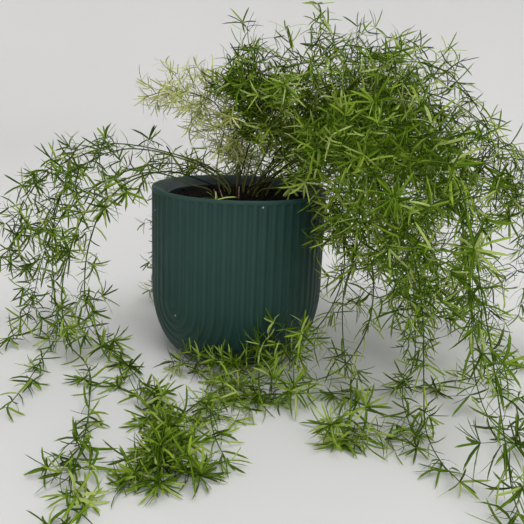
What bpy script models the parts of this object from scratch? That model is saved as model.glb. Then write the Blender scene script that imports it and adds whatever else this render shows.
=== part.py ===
"""Sprengeri asparagus fern growing in a ribbed pot.

Metres, +Z up. The origin is the middle of the pot's underside, and the plant's front faces -Y.
Every leafy stem is one closed body: a thin tube along a hand-laid route, with side shoots and
needles raised from its own faces. Each stem stands in a plain hole in the soil.
"""
import math
import random

import bmesh
import bpy
import numpy as np
from mathutils import Vector

MM = 0.001

# Pot, outside
POT_RADIUS = 75 * MM
POT_HEIGHT = 146 * MM
BASE_RADIUS = 45 * MM
ROUNDING_HEIGHT = 62 * MM
RIB_GROUPS = 4
RIBS_IN_GROUP = 15
RIB_DEPTH = 0.9 * MM
RIB_TOP = 141.8 * MM
RIM_BAND_LOW = 143.2 * MM
ARCH_HEIGHT = 53 * MM
FIRST_ARCH_TURN = math.radians(-42)
ARCH_STEPS = 12
CORNER_ROWS = 2
BASE_FADE = 6 * MM
WALL_STEPS = 300
SHARP_FROM = math.radians(18)
MERGE = 0.02 * MM

# Pot, mouth and inside
LIP_STEPS = 60
LIP_PROFILE = ((75.0, 144.9), (74.5, 145.7), (73.6, 146.0), (72.6, 145.8), (66.0, 143.2),
               (62.6, 139.4), (60.5, 139.0))
INNER_RADIUS = 60.5 * MM
INNER_FLOOR = 10 * MM
INNER_FLOOR_RADIUS = 36 * MM
INNER_ROUNDING = 52 * MM
INNER_ROWS = 2
COLLAR_TOP_RADIUS = 73 * MM
COLLAR_SLOPE = 0.4

# Soil
SEAT_GAP = 0.3 * MM
SOIL_EDGE = 137.2 * MM
SOIL_TOP = 138.5 * MM
SOIL_PLATEAU = 34 * MM
SOIL_STEPS = 32
HOLE_DEPTH = 15 * MM
HOLE_SIDES = 4
HOLE_ROOM = 0.4 * MM
STEM_FOOT = SOIL_TOP - HOLE_DEPTH + 1.3 * MM

# Leafy stems
STEM_RADIUS = 0.9 * MM
STEM_TIP_RADIUS = 0.65 * MM
SHOOT_RADIUS = 0.55 * MM
NODE_SPACING = 50 * MM
NODE_LENGTH = 2.5 * MM
MOST_BOW = 1.3 * MM
FOOT_LEAN = 0.01
LONG_SHOOT = 19 * MM
EVERY_OTHER_SHOOT = 0.7
FIRST_SWELL = 0.22
LAST_SWELL = 0.97
SHOOT_START = 0.1
SHOOT_ROOM = 0.3 * MM
SHOOT_SIDES = (0, 2, 1, 3)
SHOOT_FORWARD = 0.62
SHOOT_LEANS = (0.15, -0.1, 0.4, -0.3)
SHOOT_BEND = 0.25
SHOOT_DROOPS = (0.25, 0.0, -0.2)
NEEDLE_LENGTH = 18 * MM
TIP_NEEDLE = 0.8 * NEEDLE_LENGTH
NEEDLE_THICKNESS = 0.5 * MM
NEEDLE_FOOT = 1.5 * MM
NEEDLE_SIZES = (0.85, 1.1)
NEEDLES_ASIDE = (0.55, -0.45)
NEEDLES_FORWARD = (0.5, 0.95)
FORWARD_SPREAD = 0.08
SHORTER = (1, 0.8, 0.62)
FIRST_SEED = 1000
CLEAR_OF_OTHERS = 0.8 * MM
CLEAR_OF_ITSELF = 0.12 * MM
FLOOR_GAP = 0.4 * MM
ROOM_SAMPLES = 7
ALMOST_NOTHING = 1e-18
GRAVITY = Vector((0, 0, -1))

# Each stem: name, colour, share of its length that is bare, side shoot length in mm, and its
# route in mm. The first pair is where it leaves the soil, the rest are points that it passes.
STEMS = (
    ("stem_left_low", "green", 0.18, 27, (
        (-24, 4), (-43, 0, 146), (-58, -5, 153), (-75, -15, 157), (-93, -22, 152), (-115, -27, 139),
        (-128, -32, 120), (-136, -37, 98), (-143, -42, 70), (-143, -48, 42), (-138, -54, 18),
        (-120, -70, 8), (-108, -96, 6), (-101, -126, 6), (-94, -158, 6), (-88, -195, 6),
        (-85, -228, 6), (-79, -256, 6), (-73, -284, 6))),
    ("stem_left_table", "green", 0.2, 26, (
        (-15, -4), (-38, -14, 154), (-62, -30, 160), (-86, -40, 153), (-106, -46, 134),
        (-118, -46, 106), (-126, -38, 72), (-127, -28, 36), (-114, -32, 11), (-94, -54, 6),
        (-76, -86, 6), (-54, -124, 6), (-37, -160, 6), (-31, -196, 6), (-36, -234, 6))),
    ("stem_left_mid", "green", 0.22, 32, (
        (-9, 6), (-30, 10, 155), (-50, 11, 161), (-70, 10, 162), (-92, 6, 157), (-115, 0, 147),
        (-142, -3, 126), (-162, -7, 100), (-172, -12, 70), (-178, -20, 40), (-190, -28, 14),
        (-206, -38, 7))),
    ("stem_left_high", "green", 0.24, 32, (
        (-8, 13), (-26, 22, 158), (-46, 27, 165), (-69, 31, 170), (-92, 33, 174), (-118, 33, 175),
        (-146, 31, 169), (-171, 26, 153), (-190, 20, 128), (-202, 14, 98), (-206, 10, 66))),
    ("stem_left_far", "green", 0.26, 30, (
        (-14, 21), (-34, 37, 156), (-58, 48, 163), (-84, 55, 168), (-112, 58, 168),
        (-140, 55, 158), (-163, 48, 136), (-174, 42, 104), (-176, 34, 62), (-170, 20, 26),
        (-161, -6, 9), (-157, -60, 6), (-153, -112, 6), (-153, -150, 6))),
    ("stem_pale_left", "pale", 0.26, 32, (
        (-18, 12), (-21, 14, 160), (-18, 19, 180), (-16, 22, 200), (-24, 24, 214), (-44, 24, 222),
        (-66, 21, 223), (-84, 18, 218))),
    ("stem_pale_centre", "pale", 0.3, 28, (
        (-3, 16), (-3, 25, 160), (0, 32, 182), (8, 36, 202), (20, 38, 216), (36, 38, 222))),
    ("stem_plume", "green", 0.32, 26, (
        (-3, 9), (2, 12, 162), (9, 14, 188), (16, 14, 210), (15, 12, 230), (4, 10, 241),
        (-10, 8, 240), (-24, 6, 229))),
    ("stem_spike", "green", 0.4, 24, (
        (3, 13), (8, 20, 165), (14, 25, 195), (14, 25, 225), (8, 21, 250), (3, 16, 268),
        (2, 13, 278))),
    ("stem_top_near", "green", 0.18, 36, (
        (7, 8), (17, 11, 165), (32, 12, 200), (46, 11, 232), (64, 8, 256), (86, 4, 266),
        (108, 0, 260), (126, -5, 242), (138, -10, 216))),
    ("stem_top_far", "green", 0.14, 38, (
        (12, 11), (34, 12, 172), (62, 12, 206), (92, 10, 234), (122, 6, 252), (152, 2, 254),
        (178, -2, 240), (198, -6, 216), (213, -10, 186), (222, -14, 156))),
    ("stem_right_back", "green", 0.14, 36, (
        (12, 17), (38, 32, 176), (72, 44, 210), (112, 52, 230), (152, 52, 226), (184, 48, 200),
        (204, 44, 164), (214, 40, 122), (219, 35, 80), (223, 26, 38), (228, 13, 10),
        (242, -10, 7))),
    ("stem_right_high", "green", 0.14, 38, (
        (19, 15), (50, 28, 186), (88, 33, 216), (130, 32, 231), (170, 26, 228), (205, 20, 210),
        (234, 13, 182), (254, 6, 150), (266, -1, 116), (272, -8, 82))),
    ("stem_right_mid", "green", 0.13, 38, (
        (21, 9), (54, 17, 176), (92, 21, 204), (134, 20, 218), (176, 14, 211), (212, 8, 190),
        (236, 2, 158), (248, -6, 120), (252, -14, 82), (248, -20, 46))),
    ("stem_front_long", "green", 0.09, 34, (
        (23, 3), (60, 4, 172), (106, 3, 190), (154, 0, 190), (200, -6, 172), (236, -14, 142),
        (262, -20, 104), (276, -24, 62), (280, -28, 26), (266, -34, 9), (236, -48, 6),
        (203, -66, 6), (172, -80, 6), (146, -90, 6), (112, -99, 6), (76, -106, 6),
        (46, -112, 6), (22, -116, 6))),
    ("stem_right_near", "green", 0.14, 36, (
        (14, 4), (48, -4, 170), (86, -11, 190), (124, -19, 192), (158, -28, 174),
        (178, -38, 142), (188, -47, 104), (194, -56, 64), (202, -66, 28), (212, -80, 9),
        (224, -104, 6), (232, -128, 6))),
    ("stem_right_inner", "green", 0.15, 28, (
        (12, -1), (36, -9, 164), (64, -15, 178), (94, -21, 177), (120, -26, 158),
        (137, -31, 126), (147, -36, 88), (152, -44, 50), (152, -57, 20), (145, -76, 10),
        (136, -96, 14), (131, -118, 9), (130, -150, 6), (128, -184, 6))),
    ("stem_drop_mid", "green", 0.15, 26, (
        (8, -4), (28, -24, 156), (54, -36, 164), (80, -43, 157), (94, -48, 134), (97, -50, 104),
        (90, -54, 74), (90, -58, 44), (93, -68, 18), (94, -84, 11), (94, -104, 15),
        (91, -126, 9), (88, -150, 6), (83, -178, 6))),
    ("stem_front_trail", "green", 0.15, 24, (
        (15, -8), (36, -34, 151), (60, -56, 151), (79, -67, 134), (86, -72, 106), (82, -77, 76),
        (68, -82, 50), (46, -81, 29), (24, -76, 17), (0, -72, 12), (-28, -70, 9),
        (-48, -62, 7))),
    ("stem_front_low", "green", 0.18, 24, (
        (5, -10), (26, -44, 158), (52, -66, 164), (80, -82, 152), (98, -92, 124),
        (106, -98, 88), (102, -102, 54), (84, -104, 24), (56, -100, 10), (28, -96, 7),
        (4, -98, 6), (-10, -118, 6), (-10, -148, 6), (-4, -182, 6), (6, -212, 6))),
    ("stem_right_front", "green", 0.16, 34, (
        (19, -2), (50, -22, 174), (84, -44, 196), (118, -64, 198), (148, -80, 178),
        (166, -94, 144), (174, -105, 104), (178, -114, 64), (182, -124, 28), (188, -140, 9),
        (196, -166, 6), (206, -194, 6))),
    ("stem_near_arch", "green", 0.2, 32, (
        (11, -13), (32, -48, 172), (58, -84, 190), (86, -114, 186), (108, -138, 160),
        (122, -154, 124), (129, -163, 86), (132, -170, 46), (135, -180, 14), (140, -200, 6),
        (146, -222, 6))),
    ("stem_near_right", "green", 0.22, 30, (
        (20, -10), (54, -40, 182), (90, -80, 206), (121, -116, 204), (143, -147, 180),
        (152, -172, 146), (156, -190, 114), (159, -206, 90), (161, -222, 66), (164, -238, 40),
        (167, -256, 14), (170, -278, 7))),
    ("stem_back_left", "green", 0.22, 30, (
        (-6, 26), (-22, 46, 150), (-42, 70, 154), (-58, 90, 141), (-67, 102, 112),
        (-72, 109, 76), (-75, 114, 38), (-79, 122, 9), (-86, 146, 6))),
    ("stem_back_mid", "green", 0.22, 34, (
        (2, 26), (2, 52, 158), (0, 82, 166), (-4, 108, 152), (-8, 124, 118), (-10, 132, 78),
        (-11, 138, 36), (-12, 148, 8), (-14, 172, 6))),
    ("stem_back_right", "green", 0.2, 32, (
        (10, 26), (24, 56, 174), (38, 88, 192), (50, 114, 180), (58, 130, 148), (63, 138, 106),
        (66, 143, 62), (68, 150, 22), (71, 166, 7), (76, 190, 6))),
    ("stem_back_high", "green", 0.17, 36, (
        (19, 23), (46, 48, 192), (82, 70, 224), (120, 84, 228), (154, 94, 204), (176, 99, 166),
        (186, 101, 122), (190, 101, 76), (194, 104, 32), (200, 116, 7))),
)

# Old cut stems: where each stands, the way it leans, and its length in mm
STUBS = (
    ("dry_stub_1", (-17, -26), (-0.5, 0.1), 8),
    ("dry_stub_2", (-13, -23), (-0.42, 0.15), 7),
    ("dry_stub_3", (0, -18), (0.05, 0.1), 9),
)
STUB_RADIUS = 0.7 * MM
STUB_TIP_RADIUS = 0.55 * MM
STUB_SIDES = 5

COLOURS = {
    "pot": ((0.026, 0.058, 0.052), 0.55),
    "soil": ((0.018, 0.012, 0.009), 0.95),
    "green": ((0.105, 0.19, 0.03), 0.5),
    "pale": ((0.33, 0.36, 0.13), 0.55),
    "stub": ((0.3, 0.16, 0.12), 0.8),
}


def clear_scene():
    """Remove whatever the scene holds before the model is made."""
    for old in list(bpy.data.objects):
        bpy.data.objects.remove(old, do_unlink=True)


def material(kind):
    """A Principled material for one of the part's finishes."""
    found = bpy.data.materials.get(kind)
    if found:
        return found
    colour, roughness = COLOURS[kind]
    made = bpy.data.materials.new(kind)
    made.use_nodes = True
    shader = made.node_tree.nodes["Principled BSDF"]
    shader.inputs["Base Color"].default_value = (*colour, 1)
    shader.inputs["Roughness"].default_value = roughness
    shader.inputs["Metallic"].default_value = 0
    return made


def add_object(name, mesh, kind):
    """Put a finished mesh in the scene under its node's name."""
    mesh.materials.append(material(kind))
    piece = bpy.data.objects.new(name, mesh)
    bpy.context.scene.collection.objects.link(piece)
    return piece


# Pot


def wall_radius(height):
    """Outer radius: upright above the rounding, an elliptical curve below it."""
    if height >= ROUNDING_HEIGHT:
        return POT_RADIUS
    fall = 1 - height / ROUNDING_HEIGHT
    return BASE_RADIUS + (POT_RADIUS - BASE_RADIUS) * math.sqrt(max(0, 1 - fall * fall))


def lower_wall():
    """The wall's curve from the arches' centre line to the base: length, radius and height."""
    first = math.asin(1 - ARCH_HEIGHT / ROUNDING_HEIGHT)
    curve = []
    length = 0
    for i in range(WALL_STEPS + 1):
        bend = first + (math.pi / 2 - first) * i / WALL_STEPS
        radius = BASE_RADIUS + (POT_RADIUS - BASE_RADIUS) * math.cos(bend)
        height = ROUNDING_HEIGHT * (1 - math.sin(bend))
        if curve:
            length += math.hypot(radius - curve[-1][1], height - curve[-1][2])
        curve.append((length, radius, height))
    curve[-1] = (length, BASE_RADIUS, 0)
    return curve


LOWER_WALL = lower_wall()
RIB_DROP = LOWER_WALL[-1][0] / (RIBS_IN_GROUP / 2)
RIB_ANGLE = 2 * math.pi / (RIB_GROUPS * RIBS_IN_GROUP)


def wall_point(drop):
    """Radius and height of the outer wall, an arc length below the arches' centre line."""
    for (near, radius_a, height_a), (far, radius_b, height_b) in zip(LOWER_WALL, LOWER_WALL[1:]):
        if drop <= far:
            share = (drop - near) / (far - near)
            return radius_a + (radius_b - radius_a) * share, height_a + (height_b - height_a) * share
    return BASE_RADIUS, 0


def rib_groove(count):
    """How far the surface lies under the ribs' crests, for a distance counted in ribs."""
    return RIB_DEPTH * (1 - math.cos(2 * math.pi * count)) / 2


def wall_vertex(across, below, turn, groove):
    """A point of the ribbed wall. across counts ribs sideways from the arch's middle, below
    counts them down from its centre line, and turn is where the group faces."""
    radius, height = wall_point(below * RIB_DROP)
    fade = min(1, height / BASE_FADE)
    return on_wall(turn + across * RIB_ANGLE, radius - groove * fade, height)


def on_wall(angle, radius, height):
    """A point at an angle from the front, counted towards +X."""
    return Vector((radius * math.sin(angle), -radius * math.cos(angle), height))


def rib_line(count, turn):
    """One crest or valley of a group: down one side, round under the arch and up the other."""
    groove = rib_groove(count)
    radius = POT_RADIUS - groove
    sides = []
    for side in (1, -1):
        angle = turn + side * count * RIB_ANGLE
        sides.append([on_wall(angle, radius, height) for height in (RIB_TOP, ROUNDING_HEIGHT)])
    under = []
    for i in range(ARCH_STEPS + 1):
        bend = math.pi * i / ARCH_STEPS
        under.append(wall_vertex(count * math.cos(bend), count * math.sin(bend), turn, groove))
    return sides[0] + under + sides[1][::-1]


def corner_rays(turn):
    """The corners between two arches: rays from the outermost arch to the edge of its group or
    to the base, across the pattern of crests and valleys."""
    half = RIBS_IN_GROUP / 2
    rays = []
    for i in range(ARCH_STEPS + 1):
        bend = math.pi * i / ARCH_STEPS
        reach = half / max(abs(math.cos(bend)), abs(math.sin(bend)))
        counts = [half + (reach - half) * k / CORNER_ROWS for k in range(CORNER_ROWS + 1)]
        rays.append([wall_vertex(c * math.cos(bend), c * math.sin(bend), turn, rib_groove(c))
                     for c in counts])
    return rays


def lathe_ring(bm, radius, height, steps):
    """A level ring of vertices about the pot's axis."""
    ring = []
    for i in range(steps):
        angle = 2 * math.pi * i / steps
        ring.append(bm.verts.new((radius * math.sin(angle), -radius * math.cos(angle), height)))
    return ring


def join_rings(bm, upper, lower):
    """Quads between two rings with the same number of vertices."""
    count = len(upper)
    for i in range(count):
        j = (i + 1) % count
        bm.faces.new((upper[i], lower[i], lower[j], upper[j]))


def build_pot():
    """The ribbed pot: one thick-walled body with a flat underside and an open mouth."""
    bm = bmesh.new()
    for group in range(RIB_GROUPS):
        add_rib_group(bm, FIRST_ARCH_TURN + 2 * math.pi * group / RIB_GROUPS)
    bmesh.ops.remove_doubles(bm, verts=bm.verts, dist=MERGE)
    top_edges = [e for e in bm.edges if e.is_boundary and min(v.co.z for v in e.verts) > RIB_TOP - MM]
    base_edges = [e for e in bm.edges if e.is_boundary and max(v.co.z for v in e.verts) < MM]
    bmesh.ops.edgeloop_fill(bm, edges=base_edges)
    band = bmesh.ops.extrude_edge_only(bm, edges=top_edges)["geom"]
    band_verts = [g for g in band if isinstance(g, bmesh.types.BMVert)]
    for vert in band_verts:
        side = math.hypot(vert.co.x, vert.co.y)
        vert.co = Vector((vert.co.x / side * POT_RADIUS, vert.co.y / side * POT_RADIUS, RIM_BAND_LOW))
    band_edges = [g for g in band if isinstance(g, bmesh.types.BMEdge)]
    rings = [lathe_ring(bm, r * MM, z * MM, LIP_STEPS) for r, z in LIP_PROFILE]
    bmesh.ops.bridge_loops(bm, edges=band_edges + ring_edges(bm, rings[0]))
    for radius, height in inner_profile():
        rings.append(lathe_ring(bm, radius, height, LIP_STEPS))
    for upper, lower in zip(rings, rings[1:]):
        join_rings(bm, upper, lower)
    bm.faces.new(rings[-1])
    bmesh.ops.recalc_face_normals(bm, faces=bm.faces)
    mesh = bpy.data.meshes.new("pot")
    bm.to_mesh(mesh)
    bm.free()
    mesh.shade_smooth()
    mesh.set_sharp_from_angle(angle=SHARP_FROM)
    return add_object("pot", mesh, "pot")


def ring_edges(bm, ring):
    """Edges round a ring of vertices, made so that it can be bridged."""
    return [bm.edges.new((a, b)) for a, b in zip(ring, ring[1:] + ring[:1])]


def add_rib_group(bm, turn):
    """Skin one group of ribs: strips between neighbouring lines, then the corners."""
    lines = []
    for half_step in range(RIBS_IN_GROUP + 1):
        points = rib_line(half_step / 2, turn)
        if half_step == 0:
            points = points[:3]
        lines.append([bm.verts.new(p) for p in points])
    middle = lines[0]
    count = len(lines[1])
    mirrored = [min(i, count - 1 - i, 2) for i in range(count)]
    lines[0] = [middle[i] for i in mirrored]
    for inner, outer in zip(lines, lines[1:]):
        for i in range(count - 1):
            corners = (inner[i], inner[i + 1], outer[i + 1], outer[i])
            unique = list(dict.fromkeys(corners))
            bm.faces.new(unique)
    fan = [[bm.verts.new(p) for p in ray] for ray in corner_rays(turn)]
    for ray, following in zip(fan, fan[1:]):
        for k in range(CORNER_ROWS):
            corners = (ray[k], following[k], following[k + 1], ray[k + 1])
            spots = {tuple(round(c / MERGE) for c in v.co): v for v in corners}
            if len(spots) > 2:
                bm.faces.new(list(spots.values()))


def inner_profile():
    """Rings of the inside, from under the mouth's edge to the floor."""
    profile = [(INNER_RADIUS, INNER_FLOOR + INNER_ROUNDING)]
    for i in range(1, INNER_ROWS + 1):
        bend = math.pi / 2 * i / INNER_ROWS
        radius = INNER_FLOOR_RADIUS + (INNER_RADIUS - INNER_FLOOR_RADIUS) * math.cos(bend)
        profile.append((radius, INNER_FLOOR + INNER_ROUNDING * (1 - math.sin(bend))))
    return profile


# Soil


def soil_height(radius):
    """The soil is level round the crown and falls a little towards the pot's wall."""
    if radius <= SOIL_PLATEAU:
        return SOIL_TOP
    share = (radius - SOIL_PLATEAU) / (INNER_RADIUS - SEAT_GAP - SOIL_PLATEAU)
    return SOIL_TOP + (SOIL_EDGE - SOIL_TOP) * share


def build_soil(standing):
    """The root ball and soil, filling the pot's inside, with a hole for everything standing."""
    bm = bmesh.new()
    facet = math.cos(math.pi / LIP_STEPS)
    rings = [lathe_ring(bm, SOIL_PLATEAU, SOIL_TOP, SOIL_STEPS)]
    for radius, height in [(INNER_RADIUS, SOIL_EDGE - SEAT_GAP), *inner_profile()]:
        rings.append(lathe_ring(bm, radius * facet - SEAT_GAP, height + SEAT_GAP, SOIL_STEPS))
    for upper, lower in zip(rings, rings[1:]):
        join_rings(bm, upper, lower)
    bm.faces.new(rings[0])
    bm.faces.new(rings[-1])
    bmesh.ops.recalc_face_normals(bm, faces=bm.faces)
    mesh = bpy.data.meshes.new("soil")
    bm.to_mesh(mesh)
    bm.free()
    soil = add_object("soil", mesh, "soil")
    cutters = bpy.data.collections.new("holes")
    bpy.context.scene.collection.children.link(cutters)
    for spot, radius in standing:
        cutters.objects.link(hole_cutter(spot, radius))
    cut = soil.modifiers.new("holes", "BOOLEAN")
    cut.operand_type = "COLLECTION"
    cut.operation = "DIFFERENCE"
    cut.solver = "EXACT"
    cut.collection = cutters
    apply_modifiers(soil)
    for cutter in list(cutters.objects):
        bpy.data.objects.remove(cutter, do_unlink=True)
    bpy.data.collections.remove(cutters)
    return soil


def hole_cutter(spot, radius):
    """A square plug that cuts one plain hole from above."""
    depth = 2 * HOLE_DEPTH
    radius = (radius + HOLE_ROOM) / math.cos(math.pi / HOLE_SIDES)
    bm = bmesh.new()
    bmesh.ops.create_cone(bm, cap_ends=True, segments=HOLE_SIDES, radius1=radius,
                          radius2=radius, depth=depth)
    bmesh.ops.translate(bm, verts=bm.verts, vec=(spot[0], spot[1], SOIL_TOP))
    mesh = bpy.data.meshes.new("hole")
    bm.to_mesh(mesh)
    bm.free()
    return bpy.data.objects.new("hole", mesh)


def apply_modifiers(piece):
    """Replace a piece's mesh by the one that its modifiers give."""
    graph = bpy.context.evaluated_depsgraph_get()
    finished = bpy.data.meshes.new_from_object(piece.evaluated_get(graph))
    piece.modifiers.clear()
    piece.data = finished


# Clearance between everything that grows


class Thicket:
    """Every grown length so far, as straight segments with a thickness and an owner."""

    def __init__(self):
        self.starts = np.zeros((0, 3))
        self.ends = np.zeros((0, 3))
        self.radii = np.zeros(0)
        self.owners = np.zeros(0, int)
        self.places = np.zeros(0, int)

    def add(self, start, end, radius, owner, place):
        """Remember one segment. place tells which length or whorl of its stem it is."""
        self.starts = np.vstack((self.starts, np.array(start)))
        self.ends = np.vstack((self.ends, np.array(end)))
        self.radii = np.append(self.radii, radius)
        self.owners = np.append(self.owners, owner)
        self.places = np.append(self.places, place)

    def is_clear(self, start, end, radius, owner, own_places):
        """Whether a new segment keeps its distance, apart from its own stem's own_places."""
        own = self.owners == owner
        room = np.where(own, CLEAR_OF_ITSELF, CLEAR_OF_OTHERS)
        gaps = segment_distances(np.array(start), np.array(end), self.starts, self.ends)
        gaps -= self.radii + radius + room
        gaps[own & np.isin(self.places, own_places)] = 1
        return gaps.size == 0 or gaps.min() > 0


def segment_distances(start, end, starts, ends):
    """Shortest distance from one segment to each of many."""
    along = end - start
    others = ends - starts
    offset = start - starts
    size = max(along @ along, ALMOST_NOTHING)
    sizes = np.maximum(np.sum(others * others, axis=1), ALMOST_NOTHING)
    cross = others @ along
    from_start = offset @ along
    from_other = np.sum(offset * others, axis=1)
    spread = np.maximum(size * sizes - cross * cross, ALMOST_NOTHING)
    share = np.clip((cross * from_other - from_start * sizes) / spread, 0, 1)
    other_share = np.clip((cross * share + from_other) / sizes, 0, 1)
    share = np.clip((cross * other_share - from_start) / size, 0, 1)
    near = start + np.outer(share, along)
    far = starts + others * other_share[:, None]
    return np.linalg.norm(near - far, axis=1)


def room_at(point):
    """Free space between a point and the pot, the soil or the surface the pot stands on."""
    radius = math.hypot(point.x, point.y)
    if radius < INNER_RADIUS:
        above_soil = point.z - soil_height(radius)
        return above_soil if point.z > POT_HEIGHT else min(INNER_RADIUS - radius, above_soil)
    if point.z >= POT_HEIGHT:
        return math.hypot(max(0, radius - POT_RADIUS), point.z - POT_HEIGHT)
    if radius < COLLAR_TOP_RADIUS:
        return point.z - POT_HEIGHT + (COLLAR_TOP_RADIUS - radius) * COLLAR_SLOPE
    return radius - wall_radius(max(point.z, 0))


def has_room(start, end, radius):
    """Whether a straight length keeps off the pot, the soil and the surface below."""
    for i in range(ROOM_SAMPLES + 1):
        point = start.lerp(end, i / ROOM_SAMPLES)
        if room_at(point) < radius + SEAT_GAP or point.z < radius + FLOOR_GAP:
            return False
    return True


# Leafy stems


def curve_slopes(points):
    """Direction of a smooth curve at each of its points, the nearer neighbour counting more."""
    runs = [(b - a) / (b - a).length for a, b in zip(points, points[1:])]
    spans = [(b - a).length for a, b in zip(points, points[1:])]
    slopes = [runs[0]]
    for before, after, near, far in zip(runs, runs[1:], spans, spans[1:]):
        slopes.append((before * far + after * near) / (near + far))
    slopes.append(runs[-1])
    return slopes


def curve_through(points, spacing):
    """Points of a smooth curve through the given ones, evenly spaced."""
    slopes = curve_slopes(points)
    dense = []
    for a, b, slope_a, slope_b in zip(points, points[1:], slopes, slopes[1:]):
        span = (b - a).length
        steps = max(2, int(span / (0.5 * MM)))
        for i in range(steps):
            t = i / steps
            u = 1 - t
            spot = a * u * u * (1 + 2 * t) + b * t * t * (3 - 2 * t)
            dense.append(spot + (slope_a * u - slope_b * t) * t * u * span)
    dense.append(points[-1])
    travelled = [0]
    for a, b in zip(dense, dense[1:]):
        travelled.append(travelled[-1] + (b - a).length)
    count = max(2, round(travelled[-1] / spacing))
    even = []
    index = 0
    for k in range(count + 1):
        target = travelled[-1] * k / count
        while index < len(dense) - 2 and travelled[index + 1] < target:
            index += 1
        span = travelled[index + 1] - travelled[index]
        even.append(dense[index].lerp(dense[index + 1], (target - travelled[index]) / span))
    return even


class Route:
    """A stem's centre line, with a direction and a sideways vector at any distance along it."""

    SPACING = 2 * MM

    def __init__(self, points):
        self.points = curve_through(points, self.SPACING)
        self.step = (self.points[1] - self.points[0]).length
        self.length = self.step * (len(self.points) - 1)
        self.tangents = []
        last = len(self.points) - 1
        for i in range(last + 1):
            ahead = self.points[min(i + 1, last)] - self.points[max(i - 1, 0)]
            self.tangents.append(ahead.normalized())
        side = self.tangents[0].orthogonal().normalized()
        self.sides = []
        for tangent in self.tangents:
            side = (side - side.dot(tangent) * tangent).normalized()
            self.sides.append(side)

    def at(self, distance):
        """Centre, direction and sideways vector at a distance from the root."""
        last = len(self.points) - 1
        place = min(max(distance / self.step, 0), last)
        index = min(int(place), last - 1)
        share = place - index
        centre = self.points[index].lerp(self.points[index + 1], share)
        tangent = self.tangents[index].lerp(self.tangents[index + 1], share).normalized()
        side = self.sides[index]
        side = (side - side.dot(tangent) * tangent).normalized()
        return centre, tangent, side


def around(centre, tangent, side, radius, count, turn=0.0):
    """Points round a centre line, the first one turned from the sideways vector."""
    cross = tangent.cross(side)
    points = []
    for i in range(count):
        angle = turn + 2 * math.pi * i / count
        points.append(centre + radius * (math.cos(angle) * side + math.sin(angle) * cross))
    return points


# The thicket's marks: a stem's own lengths count from 0, then each node has a block of marks
NODE_BLOCK = 10
FIRST_NODE_MARK = 1000
ON_STEM, SHOOT_FOOT, SHOOT_END, MIDDLE_WHORL, TIP_WHORL = range(5)


def mark(node, part):
    """The number by which the thicket knows one part of a node."""
    return FIRST_NODE_MARK + NODE_BLOCK * node + part


class Grower:
    """Builds one stem's mesh: rings of vertices, and faces that shoots and needles rise from."""

    def __init__(self, owner, thicket, rng):
        self.owner = owner
        self.thicket = thicket
        self.rng = rng
        self.verts = []
        self.faces = []

    def ring(self, points):
        """Add a ring of vertices and return their numbers."""
        first = len(self.verts)
        self.verts.extend(points)
        return list(range(first, len(self.verts)))

    def skin(self, lower, upper):
        """Triangles between two rings, as one pair for each side, not yet added to the mesh."""
        pairs = []
        count = len(lower)
        for i in range(count):
            j = (i + 1) % count
            pairs.append(((lower[i], lower[j], upper[j]), (lower[i], upper[j], upper[i])))
        return pairs

    def add_plain(self, pairs):
        """Add both triangles of every side to the mesh."""
        for pair in pairs:
            self.faces.extend(pair)

    def middle(self, corners):
        """Centre of some vertices."""
        return sum((self.verts[v] for v in corners), Vector()) / len(corners)

    def raise_needle(self, face, direction, length, own_mark, free_marks):
        """Raise one needle from a face if it has room, else leave the face flat."""
        root = self.middle(face)
        start = root + direction * NEEDLE_FOOT
        for share in SHORTER:
            tip = root + direction * length * share
            if not has_room(start, tip, NEEDLE_THICKNESS):
                continue
            if self.thicket.is_clear(start, tip, NEEDLE_THICKNESS, self.owner, free_marks):
                self.thicket.add(start, tip, NEEDLE_THICKNESS, self.owner, own_mark)
                top = self.ring([tip])[0]
                for a, b in zip(face, face[1:] + face[:1]):
                    self.faces.append((a, b, top))
                return
        self.faces.append(face)

    def whorl(self, node, length, own_mark, free_marks, bare_side=None):
        """Needles from every triangle of a node, except on the side that a shoot has taken."""
        for i, pair in enumerate(node.pairs):
            if i == bare_side:
                continue
            outward = node.outward(self, i)
            across = node.tangent.cross(outward)
            for face, aside, forward in zip(pair, NEEDLES_ASIDE, NEEDLES_FORWARD):
                forward += self.rng.uniform(-FORWARD_SPREAD, FORWARD_SPREAD)
                aim = (outward + across * aside + node.tangent * forward).normalized()
                size = length * self.rng.uniform(*NEEDLE_SIZES)
                self.raise_needle(face, aim, size, own_mark, free_marks)


class Node:
    """Two close rings of a stem or shoot, whose sides carry a shoot and needles."""

    def __init__(self, lower, upper, pairs, tangent):
        self.lower = lower
        self.upper = upper
        self.pairs = pairs
        self.tangent = tangent

    def outward(self, grower, side):
        """Direction straight out from one side."""
        near, far = self.pairs[side]
        out = grower.middle((*near, far[2])) - grower.middle(self.lower + self.upper)
        return (out - out.dot(self.tangent) * self.tangent).normalized()


def shoot_path(root, tangent, direction, length, droop):
    """Root, elbow and end of a side shoot. A long one bends to the stem's tip and sags."""
    half = length / 2
    elbow = root + direction * half
    if length < LONG_SHOOT:
        return [root, elbow, elbow + direction * half]
    onward = (direction + tangent * SHOOT_BEND + GRAVITY * droop).normalized()
    return [root, elbow, elbow + onward * half]


def find_shoot(grower, face, tangent, outward, length, free_marks):
    """A way for a side shoot to grow from a face without touching anything, or None."""
    root = grower.middle(face)
    across = tangent.cross(outward)
    for share in SHORTER:
        for lean in SHOOT_LEANS:
            direction = (outward + across * lean + tangent * SHOOT_FORWARD).normalized()
            for droop in SHOOT_DROOPS:
                path = shoot_path(root, tangent, direction, length * share, droop)
                if shoot_is_clear(grower, path, free_marks):
                    return path
    return None


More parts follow.
